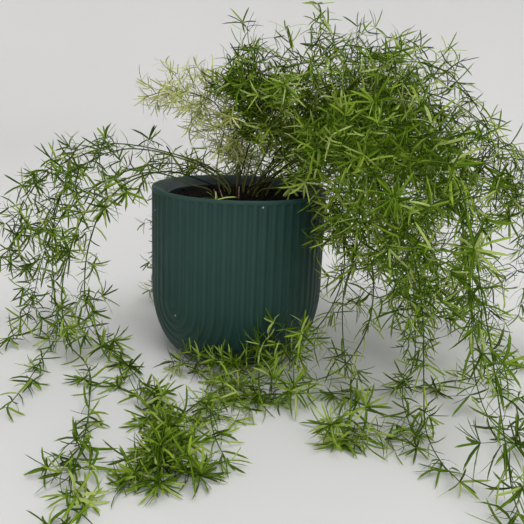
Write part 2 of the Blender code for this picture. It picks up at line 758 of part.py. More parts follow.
def shoot_is_clear(grower, path, free_marks):
    """Whether both halves of a shoot are free, with some room for their own needles."""
    root, elbow, end = path
    start = root.lerp(elbow, SHOOT_START)
    room = SHOOT_RADIUS + SHOOT_ROOM
    for a, b, free in ((start, elbow, free_marks), (elbow, end, [])):
        if not has_room(a, b, room):
            return False
        if not grower.thicket.is_clear(a, b, room, grower.owner, free):
            return False
    return True


def grow_shoot(grower, face, path, number):
    """A side shoot: a three-sided tube that starts from one face of the stem, with a whorl of
    needles at its tip, and on a long shoot one at its elbow too."""
    root, elbow, end = path
    start = root.lerp(elbow, SHOOT_START)
    grower.thicket.add(start, elbow, SHOOT_RADIUS, grower.owner, mark(number, SHOOT_FOOT))
    grower.thicket.add(elbow, end, SHOOT_RADIUS, grower.owner, mark(number, SHOOT_END))
    first = (elbow - root).normalized()
    second = (end - elbow).normalized()
    half = NODE_LENGTH / 2
    stations = [(end - second * NODE_LENGTH, second), (end, second)]
    is_long = (end - root).length > LONG_SHOOT
    if is_long:
        stations = [(elbow - first * half, first), (elbow + second * half, second)] + stations
    first_side = grower.verts[face[0]] - root
    lower = list(face)
    nodes = []
    for centre, tangent in stations:
        side = (first_side - first_side.dot(tangent) * tangent).normalized()
        upper = grower.ring(around(centre, tangent, side, SHOOT_RADIUS, 3))
        nodes.append(Node(lower, upper, grower.skin(lower, upper), tangent))
        lower = upper
    tip = nodes.pop()
    foot_and_end = [mark(number, SHOOT_FOOT), mark(number, SHOOT_END)]
    for i, node in enumerate(nodes):
        if is_long and i == 1:
            own = mark(number, MIDDLE_WHORL)
            grower.whorl(node, NEEDLE_LENGTH, own, [own, *foot_and_end])
        else:
            grower.add_plain(node.pairs)
    own = mark(number, TIP_WHORL)
    free = [own, mark(number, SHOOT_END)]
    grower.whorl(tip, NEEDLE_LENGTH, own, free)
    grower.raise_needle(tuple(lower), second, TIP_NEEDLE, own, free)


def shoot_length(number, count, longest):
    """Side shoots are longest near the middle of the leafy length, short at both ends, and
    every other one is a short one."""
    share = (number + 0.5) / count
    swell = math.sin(math.pi * (FIRST_SWELL + (LAST_SWELL - FIRST_SWELL) * share))
    length = longest * (1 + swell) / 2
    return length if number % 2 == 0 else min(length * EVERY_OTHER_SHOOT, LONG_SHOOT - MM)


def grow_node(grower, node, number, length, stem_marks):
    """A node of the stem: one side shoot on the first free side, needles on the others."""
    turn = SHOOT_SIDES[(number + grower.owner) % len(SHOOT_SIDES)]
    taken = None
    for extra in SHOOT_SIDES:
        side = (turn + extra) % len(node.pairs)
        near, far = node.pairs[side]
        outward = node.outward(grower, side)
        path = find_shoot(grower, near, node.tangent, outward, length, stem_marks)
        if path:
            grow_shoot(grower, near, path, number)
            grower.faces.append(far)
            taken = side
            break
    own = mark(number, ON_STEM)
    grower.whorl(node, NEEDLE_LENGTH, own, [own, *stem_marks], taken)


def add_rings_to(distances, target, route):
    """Add rings up to a new distance, as many as the curve needs to stay smooth."""
    last = distances[-1]
    straight = route.at(last)[0].lerp(route.at(target)[0], 0.5)
    bow = (route.at((last + target) / 2)[0] - straight).length
    count = max(1, math.ceil(math.sqrt(bow / MOST_BOW)))
    distances += [last + (target - last) * (i + 1) / count for i in range(count)]


def stem_rings(route, bare):
    """Distances of a stem's rings, and which of them start a node."""
    distances = [0, HOLE_DEPTH]
    foot = route.length * bare
    leafy = route.length - foot
    count = max(3, round(leafy / NODE_SPACING))
    middles = [foot + leafy * (k + 0.5) / (count + 0.4) for k in range(count)]
    middles.append(route.length - NODE_LENGTH / 2)
    node_starts = []
    for middle in middles:
        add_rings_to(distances, middle - NODE_LENGTH / 2, route)
        node_starts.append(len(distances) - 1)
        distances.append(middle + NODE_LENGTH / 2)
    return distances, node_starts


def build_stem(number, name, kind, bare, longest, route, thicket):
    """One leafy stem: bare at the foot, then nodes with side shoots and needles to the tip."""
    grower = Grower(number, thicket, random.Random(FIRST_SEED + number))
    distances, node_starts = stem_rings(route, bare)
    nodes = []
    lower = None
    for i, distance in enumerate(distances):
        centre, tangent, side = route.at(distance)
        share = distance / route.length
        radius = STEM_RADIUS + (STEM_TIP_RADIUS - STEM_RADIUS) * share
        upper = grower.ring(around(centre, tangent, side, radius, 4, math.pi / 4))
        if lower is None:
            grower.faces.append(tuple(reversed(upper)))
        elif i - 1 in node_starts:
            nodes.append(Node(lower, upper, grower.skin(lower, upper), tangent))
        else:
            grower.add_plain(grower.skin(lower, upper))
        lower = upper
    tip = nodes.pop()
    for k, (node, start) in enumerate(zip(nodes, node_starts)):
        length = shoot_length(k, len(nodes), longest * MM)
        grow_node(grower, node, k, length, [start - 1, start, start + 1])
    own = mark(len(nodes), TIP_WHORL)
    free = [own, node_starts[-1] - 1, node_starts[-1]]
    grower.whorl(tip, NEEDLE_LENGTH, own, free)
    grower.raise_needle(tuple(lower), tip.tangent, TIP_NEEDLE, own, free)
    return finish_stem(grower, name, kind)


def finish_stem(grower, name, kind):
    """Turn the collected vertices and faces into an object."""
    mesh = bpy.data.meshes.new(name)
    mesh.from_pydata([tuple(v) for v in grower.verts], [], grower.faces)
    mesh.update()
    return add_object(name, mesh, kind)


def stem_route(points):
    """A stem's whole route: upright out of its hole, then through its own points."""
    foot = Vector((points[0][0], points[0][1], 0)) * MM
    rest = [Vector(p) * MM for p in points[1:]]
    lean = rest[0] - foot
    low = foot + Vector((0, 0, STEM_FOOT))
    high = foot + Vector((lean.x * FOOT_LEAN, lean.y * FOOT_LEAN, SOIL_TOP + MM / 2))
    return Route([low, high, *rest])


def register_stem(number, bare, route, thicket):
    """Enter a stem in the thicket, length by length, as its own rings divide it."""
    centres = [route.at(distance)[0] for distance in stem_rings(route, bare)[0]]
    for i, (start, end) in enumerate(zip(centres, centres[1:])):
        thicket.add(start, end, STEM_RADIUS, number, i)


def build_stubs():
    """Old cut stems, dry and leaning, each in its own hole."""
    for name, spot, lean, length in STUBS:
        foot = Vector((spot[0], spot[1], 0)) * MM
        low = foot + Vector((0, 0, STEM_FOOT))
        top = foot + Vector((0, 0, SOIL_TOP + MM))
        tilt = Vector((lean[0], lean[1], 1)).normalized()
        tip = top + tilt * length * MM
        grower = Grower(0, None, None)
        rings = []
        for centre, tangent, radius in ((low, -GRAVITY, STUB_RADIUS), (top, -GRAVITY, STUB_RADIUS),
                                        (tip, tilt, STUB_TIP_RADIUS)):
            spots = around(centre, tangent, Vector((1, 0, 0)), radius, STUB_SIDES)
            rings.append(grower.ring(spots))
        grower.faces.append(tuple(reversed(rings[0])))
        for lower, upper in zip(rings, rings[1:]):
            grower.add_plain(grower.skin(lower, upper))
        grower.faces.append(tuple(rings[-1]))
        finish_stem(grower, name, "stub")


def main():
    """Build every piece of the plant and its pot."""
    clear_scene()
    build_pot()
    standing = [(Vector(s[4][0]) * MM, STEM_RADIUS) for s in STEMS]
    standing += [(Vector(s[1]) * MM, STUB_RADIUS) for s in STUBS]
    build_soil(standing)
    build_stubs()
    thicket = Thicket()
    routes = [stem_route(points) for *_, points in STEMS]
    for number, (stem, route) in enumerate(zip(STEMS, routes)):
        register_stem(number, stem[2], route, thicket)
    for number, ((name, kind, bare, longest, _), route) in enumerate(zip(STEMS, routes)):
        build_stem(number, name, kind, bare, longest, route, thicket)


main()
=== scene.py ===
# %% [markdown]
# # A trailing asparagus fern in a ribbed pot
#
# The plant is already there as a plain solid model: the pot, the soil and one solid for each leafy
# stem. This lesson dresses it. Every cell models one piece or one finish, and says how it could be
# made by hand in Blender. The solid model is loaded first, and nothing in it is ever moved.

import math
import random

import bpy
import numpy as np
from mathutils import Matrix, Vector, noise


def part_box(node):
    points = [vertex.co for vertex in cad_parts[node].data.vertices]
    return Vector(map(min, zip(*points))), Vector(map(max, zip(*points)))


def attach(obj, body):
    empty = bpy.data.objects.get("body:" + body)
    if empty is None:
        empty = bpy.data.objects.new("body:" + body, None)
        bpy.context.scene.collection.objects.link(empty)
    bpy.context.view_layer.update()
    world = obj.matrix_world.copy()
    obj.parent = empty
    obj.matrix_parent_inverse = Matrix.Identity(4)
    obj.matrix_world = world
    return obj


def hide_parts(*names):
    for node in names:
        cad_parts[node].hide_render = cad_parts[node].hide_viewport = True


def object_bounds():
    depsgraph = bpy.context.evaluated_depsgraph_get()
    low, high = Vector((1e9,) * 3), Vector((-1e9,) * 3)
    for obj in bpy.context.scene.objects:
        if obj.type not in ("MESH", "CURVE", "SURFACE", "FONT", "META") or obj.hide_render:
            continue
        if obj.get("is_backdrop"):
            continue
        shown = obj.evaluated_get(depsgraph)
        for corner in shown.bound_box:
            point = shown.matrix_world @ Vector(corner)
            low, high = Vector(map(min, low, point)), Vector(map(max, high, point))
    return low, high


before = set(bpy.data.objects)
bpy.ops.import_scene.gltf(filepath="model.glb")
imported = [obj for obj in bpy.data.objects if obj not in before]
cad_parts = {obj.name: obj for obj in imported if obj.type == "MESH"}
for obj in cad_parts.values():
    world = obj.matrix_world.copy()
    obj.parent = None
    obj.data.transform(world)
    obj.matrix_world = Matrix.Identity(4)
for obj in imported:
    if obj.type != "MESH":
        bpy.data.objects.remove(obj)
solid_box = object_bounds()
MM = 0.001
scene = bpy.context.scene
print("solid model:", [round(size / MM) for size in solid_box[1] - solid_box[0]], "mm")

# %% [markdown]
# ## Camera
#
# The photograph was taken from a little above the pot's rim, close in front of it, with the camera
# rolled by about two degrees. The rim's ellipse gives the height, and the pot's width and place
# give the distance. A camera's own Z axis points backwards, so the first turn about X lifts its
# view from straight down to almost level, and the last one about Z is the roll. Every later
# object is added to the scene in the same way as this one.

# %% Camera
CAMERA_PLACE = (0.022, -0.585, 0.233)
CAMERA_LENS = 46.7
LOOKING_DOWN = math.radians(14.73)
CAMERA_ROLL = math.radians(2.29)


def add_object(name, data):
    """Put a new object that holds this data into the scene."""
    thing = bpy.data.objects.new(name, data)
    scene.collection.objects.link(thing)
    return thing


camera = add_object("camera", bpy.data.cameras.new("camera"))
camera.data.lens = CAMERA_LENS
turned = Matrix.Rotation(math.pi / 2 - LOOKING_DOWN, 4, "X") @ Matrix.Rotation(CAMERA_ROLL, 4, "Z")
camera.matrix_world = Matrix.Translation(CAMERA_PLACE) @ turned
scene.camera = camera
print("camera looks down by", round(math.degrees(LOOKING_DOWN), 1), "degrees")

# %% [markdown]
# ## Floor
#
# The ground is a plain pale studio bowl. A flat plane would show a horizon line behind the plant,
# so a photographer lets the paper curve up instead. Here it does so all round, and every view has
# the same quiet ground. It starts as a filled circle. Its edge is extruded outwards and upwards in
# small steps along a quarter circle, and then once more, straight up.

# %% Floor
BOWL_SIDES = 96
BOWL_RADIUS = 2.0
BOWL_CURVE = 0.8
BOWL_STEPS = 10
BOWL_WALL = 0.6


def only_select(*pieces):
    """Select these objects and no others, with the first one active."""
    bpy.ops.object.select_all(action="DESELECT")
    for piece in pieces:
        piece.select_set(True)
    bpy.context.view_layer.objects.active = pieces[0]


def start_edit(piece, mode="VERT"):
    """Go into edit mode on one object, with everything in it selected."""
    only_select(piece)
    bpy.ops.object.mode_set(mode="EDIT")
    bpy.ops.mesh.select_mode(type=mode)
    bpy.ops.mesh.select_all(action="SELECT")


def end_edit():
    """Go back to object mode."""
    bpy.ops.object.mode_set(mode="OBJECT")


def extrude(x, y, z):
    """Extrude what is selected, and move the new end."""
    bpy.ops.mesh.extrude_region_move(TRANSFORM_OT_translate={"value": (x, y, z)})


def new_from(add_primitive, name, **sizes):
    """Add a primitive with nothing else selected, and name it."""
    bpy.ops.object.select_all(action="DESELECT")
    add_primitive(**sizes)
    piece = bpy.context.object
    piece.name = name
    piece.data.name = name
    return piece


floor = new_from(bpy.ops.mesh.primitive_circle_add, "floor", vertices=BOWL_SIDES,
                 radius=BOWL_RADIUS, fill_type="NGON")
start_edit(floor, "EDGE")
bpy.ops.mesh.region_to_loop()
radius_now = BOWL_RADIUS
height_now = 0.0
for step in range(1, BOWL_STEPS + 1):
    bend = math.pi / 2 * step / BOWL_STEPS
    wider = BOWL_RADIUS + BOWL_CURVE * math.sin(bend)
    higher = BOWL_CURVE * (1 - math.cos(bend))
    extrude(0, 0, higher - height_now)
    grow = wider / radius_now
    bpy.ops.transform.resize(value=(grow, grow, 1), center_override=(0, 0, 0))
    radius_now = wider
    height_now = higher
extrude(0, 0, BOWL_WALL)
end_edit()
bpy.ops.object.shade_smooth()
floor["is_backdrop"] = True
print("floor:", len(floor.data.polygons), "faces")

# %% [markdown]
# ## Light
#
# The photograph has soft daylight from above and a little from the front and right: the shadow
# under the pot is blurred and short, and the undersides stay readable. A very wide lamp high above
# makes that light without a bright pool on the floor. A weaker one in front on the right fills the
# shadows, one behind edges the needles with light, and a pale world does the rest.

# %% Light
# A lamp's name, its place and width in metres, and its power in watts.
LAMPS = (
    ("key_lamp", (0.3, -1.6, 4.2), 2.6, 77),
    ("fill_lamp", (1.1, -2.6, 1.0), 1.6, 32),
    ("back_lamp", (1.5, 2.3, 2.6), 1.2, 12),
)
AIM = Vector((0.03, -0.03, 0.12))
WORLD_COLOUR = (1.0, 0.99, 0.98)
WORLD_STRENGTH = 0.43


def add_lamp(name, place, width, power):
    """A square area lamp that points at the plant."""
    lamp = add_object(name, bpy.data.lights.new(name, "AREA"))
    lamp.data.size = width
    lamp.data.energy = power
    lamp.location = place
    lamp.rotation_euler = (AIM - Vector(place)).to_track_quat("-Z", "Y").to_euler()


for lamp_row in LAMPS:
    add_lamp(*lamp_row)
world = bpy.data.worlds.new("studio")
world.use_nodes = True
background = world.node_tree.nodes["Background"]
background.inputs["Color"].default_value = (*WORLD_COLOUR, 1)
background.inputs["Strength"].default_value = WORLD_STRENGTH
scene.world = world
scene.view_settings.view_transform = "Standard"

# %% [markdown]
# ## Node groups that the finishes share
#
# Nothing on a plant is one flat colour. Three small node groups give each finish its variation:
# grain, mottle and specks. By hand, a few nodes are drawn together and grouped, and here
# new_socket gives the group its inputs and its output. Each reads Object coordinates, which stay
# with the piece, and puts out only what changes over the surface. Grain is the simplest of them:
# a fine noise, whose height goes to a Bump node.

# %% Grain
GRAIN_DETAIL = 3


def new_group(name, numbers, result):
    """A shader node group with number inputs and one number output."""
    group = bpy.data.node_groups.new(name, "ShaderNodeTree")
    for label, value in numbers.items():
        socket = group.interface.new_socket(label, in_out="INPUT", socket_type="NodeSocketFloat")
        socket.default_value = value
    group.interface.new_socket(result, in_out="OUTPUT", socket_type="NodeSocketFloat")
    return group, group.nodes.new("NodeGroupInput"), group.nodes.new("NodeGroupOutput")


def add_node(tree, kind, **settings):
    """Add a node and set its own properties."""
    node = tree.nodes.new(kind)
    for label, value in settings.items():
        setattr(node, label, value)
    return node


def wire(tree, *pairs):
    """Draw a link from each output to the input that is named beside it."""
    for output, entry in pairs:
        tree.links.new(output, entry)


def grain_group():
    """A fine bumpy height."""
    group, given, result = new_group("Grain", {"Scale": 900}, "Height")
    place = add_node(group, "ShaderNodeTexCoord")
    fine = add_node(group, "ShaderNodeTexNoise")
    fine.inputs["Detail"].default_value = GRAIN_DETAIL
    wire(group,
         (place.outputs["Object"], fine.inputs["Vector"]),
         (given.outputs["Scale"], fine.inputs["Scale"]),
         (fine.outputs["Fac"], result.inputs["Height"]))
    return group


GRAIN = grain_group()
print("node group:", GRAIN.name)

# %% [markdown]
# ### Mottle
#
# Mottle is a soft cloud mask, for slow changes of colour. Plain noise stays near its middle value,
# so its distance from the middle is multiplied by the contrast, and the middle is then added again
# with a clamp. The mask runs from 0 to 1, and a higher contrast makes the clouds' edges harder.

# %% Mottle
MOTTLE_DETAIL = 4
NOISE_MIDDLE = 0.5


def mottle_group():
    """A cloud mask from 0 to 1."""
    group, given, result = new_group("Mottle", {"Scale": 20, "Contrast": 2}, "Mask")
    place = add_node(group, "ShaderNodeTexCoord")
    clouds = add_node(group, "ShaderNodeTexNoise")
    clouds.inputs["Detail"].default_value = MOTTLE_DETAIL
    centred = add_node(group, "ShaderNodeMath", operation="SUBTRACT")
    centred.inputs[1].default_value = NOISE_MIDDLE
    steeper = add_node(group, "ShaderNodeMath", operation="MULTIPLY")
    raised = add_node(group, "ShaderNodeMath", operation="ADD", use_clamp=True)
    raised.inputs[1].default_value = NOISE_MIDDLE
    wire(group,
         (place.outputs["Object"], clouds.inputs["Vector"]),
         (given.outputs["Scale"], clouds.inputs["Scale"]),
         (clouds.outputs["Fac"], centred.inputs[0]),
         (centred.outputs[0], steeper.inputs[0]),
         (given.outputs["Contrast"], steeper.inputs[1]),
         (steeper.outputs[0], raised.inputs[0]),
         (raised.outputs[0], result.inputs["Mask"]))
    return group


MOTTLE = mottle_group()
print("node group:", MOTTLE.name)

# %% [markdown]
# ### Specks
#
# Specks is a mask of rare tiny dots, for dried splashes. A cell pattern gives every cell a point
# and a random colour. A dot shows near the point, and only in the few cells whose red is low.

# %% Specks


def specks_group():
    """Small dots, by their size and by the share of the cells that have one."""
    group, given, result = new_group("Specks", {"Scale": 120, "Size": 0.15, "Amount": 0.2}, "Mask")
    place = add_node(group, "ShaderNodeTexCoord")
    cells = add_node(group, "ShaderNodeTexVoronoi")
    inside = add_node(group, "ShaderNodeMath", operation="LESS_THAN")
    chosen = add_node(group, "ShaderNodeMath", operation="LESS_THAN")
    random_part = add_node(group, "ShaderNodeSeparateColor")
    both = add_node(group, "ShaderNodeMath", operation="MULTIPLY")
    wire(group,
         (place.outputs["Object"], cells.inputs["Vector"]),
         (given.outputs["Scale"], cells.inputs["Scale"]),
         (cells.outputs["Distance"], inside.inputs[0]),
         (given.outputs["Size"], inside.inputs[1]),
         (cells.outputs["Color"], random_part.inputs["Color"]),
         (random_part.outputs["Red"], chosen.inputs[0]),
         (given.outputs["Amount"], chosen.inputs[1]),
         (inside.outputs[0], both.inputs[0]),
         (chosen.outputs[0], both.inputs[1]),
         (both.outputs[0], result.inputs["Mask"]))
    return group


SPECKS = specks_group()
print("node group:", SPECKS.name)

# %% [markdown]
# ### Making a finish
#
# Each material here is one Principled shader with a few mixes in front of it, and every step of
# that is a node or two in the shader editor. A small class holds these steps, so that a finish
# reads as a short list of what happens to its colour. The shader stays in the material, outside
# the groups. The floor's paper is the first finish: two pale greys in large soft clouds.

# %% Making a finish, and the floor's paper
# A Mix node has sockets for each kind of value, and these are the numbers of the colour ones.
MIX_FACTOR = 0
MIX_COLOURS = (6, 7)
MIX_RESULT = 2
PAPER_GREYS = ((0.79, 0.785, 0.78), (0.83, 0.83, 0.83))


class Finish:
    """A material under construction: its Principled shader, and short ways to add nodes."""

    def __init__(self, name, roughness, specular):
        self.material = bpy.data.materials.new(name)
        self.material.use_nodes = True
        self.tree = self.material.node_tree
        self.shader = self.tree.nodes["Principled BSDF"]
        self.shader.inputs["Roughness"].default_value = roughness
        self.shader.inputs["Specular IOR Level"].default_value = specular

    def use(self, group, **numbers):
        """Place a shared group with its own values, and return its output."""
        node = add_node(self.tree, "ShaderNodeGroup", node_tree=group)
        for label, value in numbers.items():
            node.inputs[label].default_value = value
        return node.outputs[0]

    def attribute(self, name):
        """Read a number that the mesh carries on its vertices."""
        return add_node(self.tree, "ShaderNodeAttribute", attribute_name=name).outputs["Fac"]

    def mix(self, mask, *colours):
        """Blend two colours by a mask. A colour is a plain RGB triple or another node's output."""
        node = add_node(self.tree, "ShaderNodeMix", data_type="RGBA")
        wire(self.tree, (mask, node.inputs[MIX_FACTOR]))
        for number, colour in zip(MIX_COLOURS, colours):
            if isinstance(colour, tuple):
                node.inputs[number].default_value = (*colour, 1)
            else:
                wire(self.tree, (colour, node.inputs[number]))
        return node.outputs[MIX_RESULT]

    def ranged(self, value, low, high, start=0.0, end=1.0):
        """Spread the part of a value between low and high over start to end."""
        node = add_node(self.tree, "ShaderNodeMapRange")
        wire(self.tree, (value, node.inputs["Value"]))
        labels = ("From Min", "From Max", "To Min", "To Max")
        for label, number in zip(labels, (low, high, start, end)):
            node.inputs[label].default_value = number
        return node.outputs[0]

    def colour(self, output):
        """Feed the base colour."""
        wire(self.tree, (output, self.shader.inputs["Base Color"]))

    def roughness(self, output):
        """Feed the roughness."""
        wire(self.tree, (output, self.shader.inputs["Roughness"]))

    def bump(self, height, distance, strength):
        """Feed the normal from a height."""
        node = add_node(self.tree, "ShaderNodeBump")
        node.inputs["Distance"].default_value = distance
        node.inputs["Strength"].default_value = strength
        wire(self.tree,
             (height, node.inputs["Height"]),
             (node.outputs["Normal"], self.shader.inputs["Normal"]))


paper = Finish("pale_paper", roughness=0.95, specular=0.1)
paper.colour(paper.mix(paper.use(MOTTLE, Scale=1.5, Contrast=1), *PAPER_GREYS))
floor.data.materials.append(paper.material)
print("floor finish:", paper.material.name)

# %% [markdown]
# ## Pot, its form
#
# The pot is one moulded cup with a rounded foot, a rolled lip, and a stepped collar inside its
# mouth. All of this is turned, so it is drawn as one chain of points from the middle of the
# underside, up the outside, over the lip and down the inside, and spun round the upright axis. The
# points lie close together where the ribs bend near the foot, because a mesh can show a rib only
# where it has vertices enough.

# %% Pot, its form
pot_low, pot_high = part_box("pot")
POT_RADIUS = (pot_high.x - pot_low.x) / 2
POT_HEIGHT = pot_high.z
BASE_RADIUS = 45 * MM
BASE_FLAT = 0.9
ROUNDING_HEIGHT = 62 * MM
ARCH_HEIGHT = 53 * MM
ARCH_ROWS = 78
ROUNDING_ROWS = 20
WALL_HEIGHTS = (80, 100, 120, 141, 142, 142.5, 143, 143.5, 144)
# The rolled lip, the slope inside it and the collar's step, as radius and height in millimetres.
LIP = ((75.0, 144.6), (74.9, 145.2), (74.6, 145.7), (74.1, 145.95), (73.5, 146.0), (72.9, 145.9),
       (72.3, 145.65), (66.6, 143.5), (65.7, 142.9), (63.0, 139.9), (62.3, 139.35), (61.2, 139.05),
       (60.7, 138.8), (60.5, 138.2))
INNER_RADIUS = 60.5 * MM
INNER_FLOOR = 10 * MM
INNER_FLOOR_RADIUS = 36 * MM
INNER_ROUNDING = 52 * MM
INNER_ROWS = 8
RIB_GROUPS = 4
RIBS_IN_GROUP = 15
COLUMNS_PER_RIB = 6
TINY = 0.01 * MM


def quarter_curve(wide, narrow, top, bottom, first_bend, rows):
    """Points down a rounded wall, from a bend below level to the foot, as (radius, height)."""
    points = []
    for row in range(rows + 1):
        bend = first_bend + (math.pi / 2 - first_bend) * row / rows
        points.append((narrow + (wide - narrow) * math.cos(bend),
                       bottom + (top - bottom) * (1 - math.sin(bend))))
    return points


def spun(name, profile, steps):
    """Draw a chain of (radius, height) points from a single vertex and spin it round Z."""
    piece = new_from(bpy.ops.mesh.primitive_plane_add, name)
    start_edit(piece)
    bpy.ops.mesh.merge(type="CENTER")
    bpy.ops.transform.translate(value=(profile[0][0], 0, profile[0][1]))
    for (radius_a, height_a), (radius_b, height_b) in zip(profile, profile[1:]):
        step = (radius_b - radius_a, 0, height_b - height_a)
        bpy.ops.mesh.extrude_vertices_move(TRANSFORM_OT_translate={"value": step})
    bpy.ops.mesh.select_all(action="SELECT")
    bpy.ops.mesh.spin(steps=steps, angle=2 * math.pi, center=(0, 0, 0), axis=(0, 0, 1))
    bpy.ops.mesh.select_all(action="SELECT")
    bpy.ops.mesh.remove_doubles(threshold=TINY)
    bpy.ops.mesh.normals_make_consistent(inside=False)
    end_edit()
    return piece


arch_bend = math.asin(1 - ARCH_HEIGHT / ROUNDING_HEIGHT)
arch_rows = quarter_curve(POT_RADIUS, BASE_RADIUS, ROUNDING_HEIGHT, 0, arch_bend, ARCH_ROWS)
upper_rows = quarter_curve(POT_RADIUS, BASE_RADIUS, ROUNDING_HEIGHT, 0, 0, ROUNDING_ROWS)
upper_rows = [point for point in upper_rows if point[1] > ARCH_HEIGHT]
outside = [(0, 0), (BASE_RADIUS * BASE_FLAT, 0)] + arch_rows[::-1] + upper_rows[::-1]
outside += [(POT_RADIUS, height * MM) for height in WALL_HEIGHTS]
lip = [(radius * MM, height * MM) for radius, height in LIP]
inside = quarter_curve(INNER_RADIUS, INNER_FLOOR_RADIUS, INNER_FLOOR + INNER_ROUNDING,
                       INNER_FLOOR, 0, INNER_ROWS)
pot = spun("ribbed_pot", outside + lip + inside + [(0, INNER_FLOOR)],
           RIB_GROUPS * RIBS_IN_GROUP * COLUMNS_PER_RIB)
print("pot:", len(pot.data.polygons), "faces")

# %% [markdown]
# ### Ribs
#
# Soft moulded ribs run down the pot's side, and near the foot they turn round in four groups of
# nested arches. They could be cut with a tool, but a wave is simpler: each vertex of the wall is
# moved inwards by it. The wave counts the ribs sideways on the upright part, and by the distance
# from the arch's middle below it, which is what bends the ribs into arches. The mesh keeps how
# deep each vertex lies and whether it is inside the mouth, and the finish reads both.

# %% Ribs
RIB_DEPTH = 0.9 * MM
RIB_TOP = POT_HEIGHT - 4.3 * MM
RIB_FADE = 1.5 * MM
RIB_ANGLE = 2 * math.pi / (RIB_GROUPS * RIBS_IN_GROUP)
FIRST_ARCH_TURN = math.radians(-42)
BASE_FADE = 6 * MM
# Where the painted shade inside the mouth starts, and how quickly it grows from the outer wall
# inwards.
INSIDE_SHADE_START = 1.5
INSIDE_SHADE_FADE = 1.3 * MM
POT_SMOOTH_ANGLE = math.radians(40)


def vertex_places(mesh):
    """All vertex places of a mesh, one row each."""
    places = np.empty(len(mesh.vertices) * 3)
    mesh.vertices.foreach_get("co", places)
    return places.reshape(-1, 3)


def keep_numbers(mesh, label, numbers):
    """Let every vertex carry a number, as an attribute that a finish can read."""
    mesh.attributes.new(label, "FLOAT", "POINT").data.foreach_set("value", numbers)


def press_ribs(mesh):
    """Move the outer wall's vertices inwards in a wave, and note how deep each one lies."""
    drops = [0.0]
    for near, far in zip(arch_rows, arch_rows[1:]):
        drops.append(drops[-1] + math.dist(near, far))
    rib_drop = drops[-1] / (RIBS_IN_GROUP / 2)
    places = vertex_places(mesh)
    radius = np.hypot(places[:, 0], places[:, 1])
    height = places[:, 2]
    angle = np.arctan2(places[:, 0], -places[:, 1])
    span = 2 * math.pi / RIB_GROUPS
    # Both distances are counted in ribs: sideways from the middle of the nearest arch, and down
    # along the wall from the arches' middle. Above that middle the second one is zero.
    across = ((angle - FIRST_ARCH_TURN + span / 2) % span - span / 2) / RIB_ANGLE
    heights = [point[1] for point in arch_rows][::-1]
    drop = np.interp(height, heights, drops[::-1])
    count = np.hypot(across, drop / rib_drop)
    depth = (1 - np.cos(2 * math.pi * count)) / 2
    # The underside, the lip and the inside have no ribs, and the grooves fade out towards them.
    depth *= np.clip(height / BASE_FADE, 0, 1)
    depth *= np.clip((RIB_TOP + RIB_FADE - height) / RIB_FADE, 0, 1)
    depth[radius < BASE_RADIUS - TINY] = 0
    depth[height > RIB_TOP + RIB_FADE] = 0
    wall = np.interp(height, heights, [point[0] for point in arch_rows][::-1])
    depth[radius < wall - MM] = 0
    share = np.where(radius > 0, (radius - RIB_DEPTH * depth) / np.maximum(radius, MM), 1)
    places[:, 0] *= share
    places[:, 1] *= share
    mesh.vertices.foreach_set("co", places.ravel())
    keep_numbers(mesh, "groove", depth)
    # How much painted shade each vertex inside the mouth gets.
    within = np.clip((wall - radius) / INSIDE_SHADE_FADE - INSIDE_SHADE_START, 0, 1) * (height > INNER_FLOOR / 2)
    keep_numbers(mesh, "inside", within)
    mesh.update()


press_ribs(pot.data)
only_select(pot)
bpy.ops.object.shade_smooth_by_angle(angle=POT_SMOOTH_ANGLE)
print("ribs:", RIB_GROUPS * RIBS_IN_GROUP)

# %% [markdown]
# ### Pot, its finish
#
# The pot is matt plastic of a dark teal green. The crests of its ribs are a shade paler, partly
# with dust and partly as a painted highlight, and the bottoms of the grooves are a shade paler as a
# painted highlight. Inside the lip, the collar and the inner wall get a painted shade. A slow
# mottle keeps the wall from looking sprayed, a few pale specks are dried splashes, and a fine grain
# breaks up the highlight.

# %% Pot, its finish
TEALS = ((0.007, 0.036, 0.029), (0.011, 0.048, 0.038))
# A paler teal: on the crests partly dust and partly a painted highlight, in the groove bottoms a
# painted highlight.
DUST_AND_HIGHLIGHT = (0.045, 0.102, 0.086)
SPLASH = (0.35, 0.38, 0.34)
# The colour of the painted shade inside the lip.
INSIDE_PAINTED_SHADE = (0.002, 0.014, 0.017)

plastic = Finish("teal_plastic", roughness=0.55, specular=0.3)
teal = plastic.mix(plastic.use(MOTTLE, Scale=18, Contrast=2), *TEALS)
# The crests are paler, partly with dust and partly as a painted highlight; the groove bottoms get a
# painted highlight.
crests = plastic.ranged(plastic.attribute("groove"), 0, 0.6, 0.3, 0)
groove_highlight = plastic.ranged(plastic.attribute("groove"), 0.7, 1, 0, 0.24)
dust_and_highlight = plastic.mix(groove_highlight, plastic.mix(crests, teal, DUST_AND_HIGHLIGHT), DUST_AND_HIGHLIGHT)
splashes = plastic.use(SPECKS, Scale=190, Size=0.16, Amount=0.02)
splashed = plastic.mix(splashes, dust_and_highlight, SPLASH)
# Painted shade inside the lip, on the collar and the inner wall.
inside_painted_shade = plastic.ranged(plastic.attribute("inside"), 0, 1, 0, 0.8)
plastic.colour(plastic.mix(inside_painted_shade, splashed, INSIDE_PAINTED_SHADE))
plastic.roughness(plastic.ranged(plastic.use(MOTTLE, Scale=60, Contrast=2), 0, 1, 0.46, 0.62))
plastic.bump(plastic.use(GRAIN, Scale=1400), 0.1 * MM, 0.25)
pot.data.materials.append(plastic.material)
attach(pot, "root")
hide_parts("pot")
print("pot finish:", plastic.material.name)

# %% [markdown]
# ## Soil
#
# The soil is dark peat, a little lower at its edge than in the middle. Its body is spun from a
# profile like the pot, from the middle of its top to the foot of the root ball. Its top is then
# roughened: a noise made of finer and finer lumps moves the vertices up and down, as a sculptor's
# brush would.

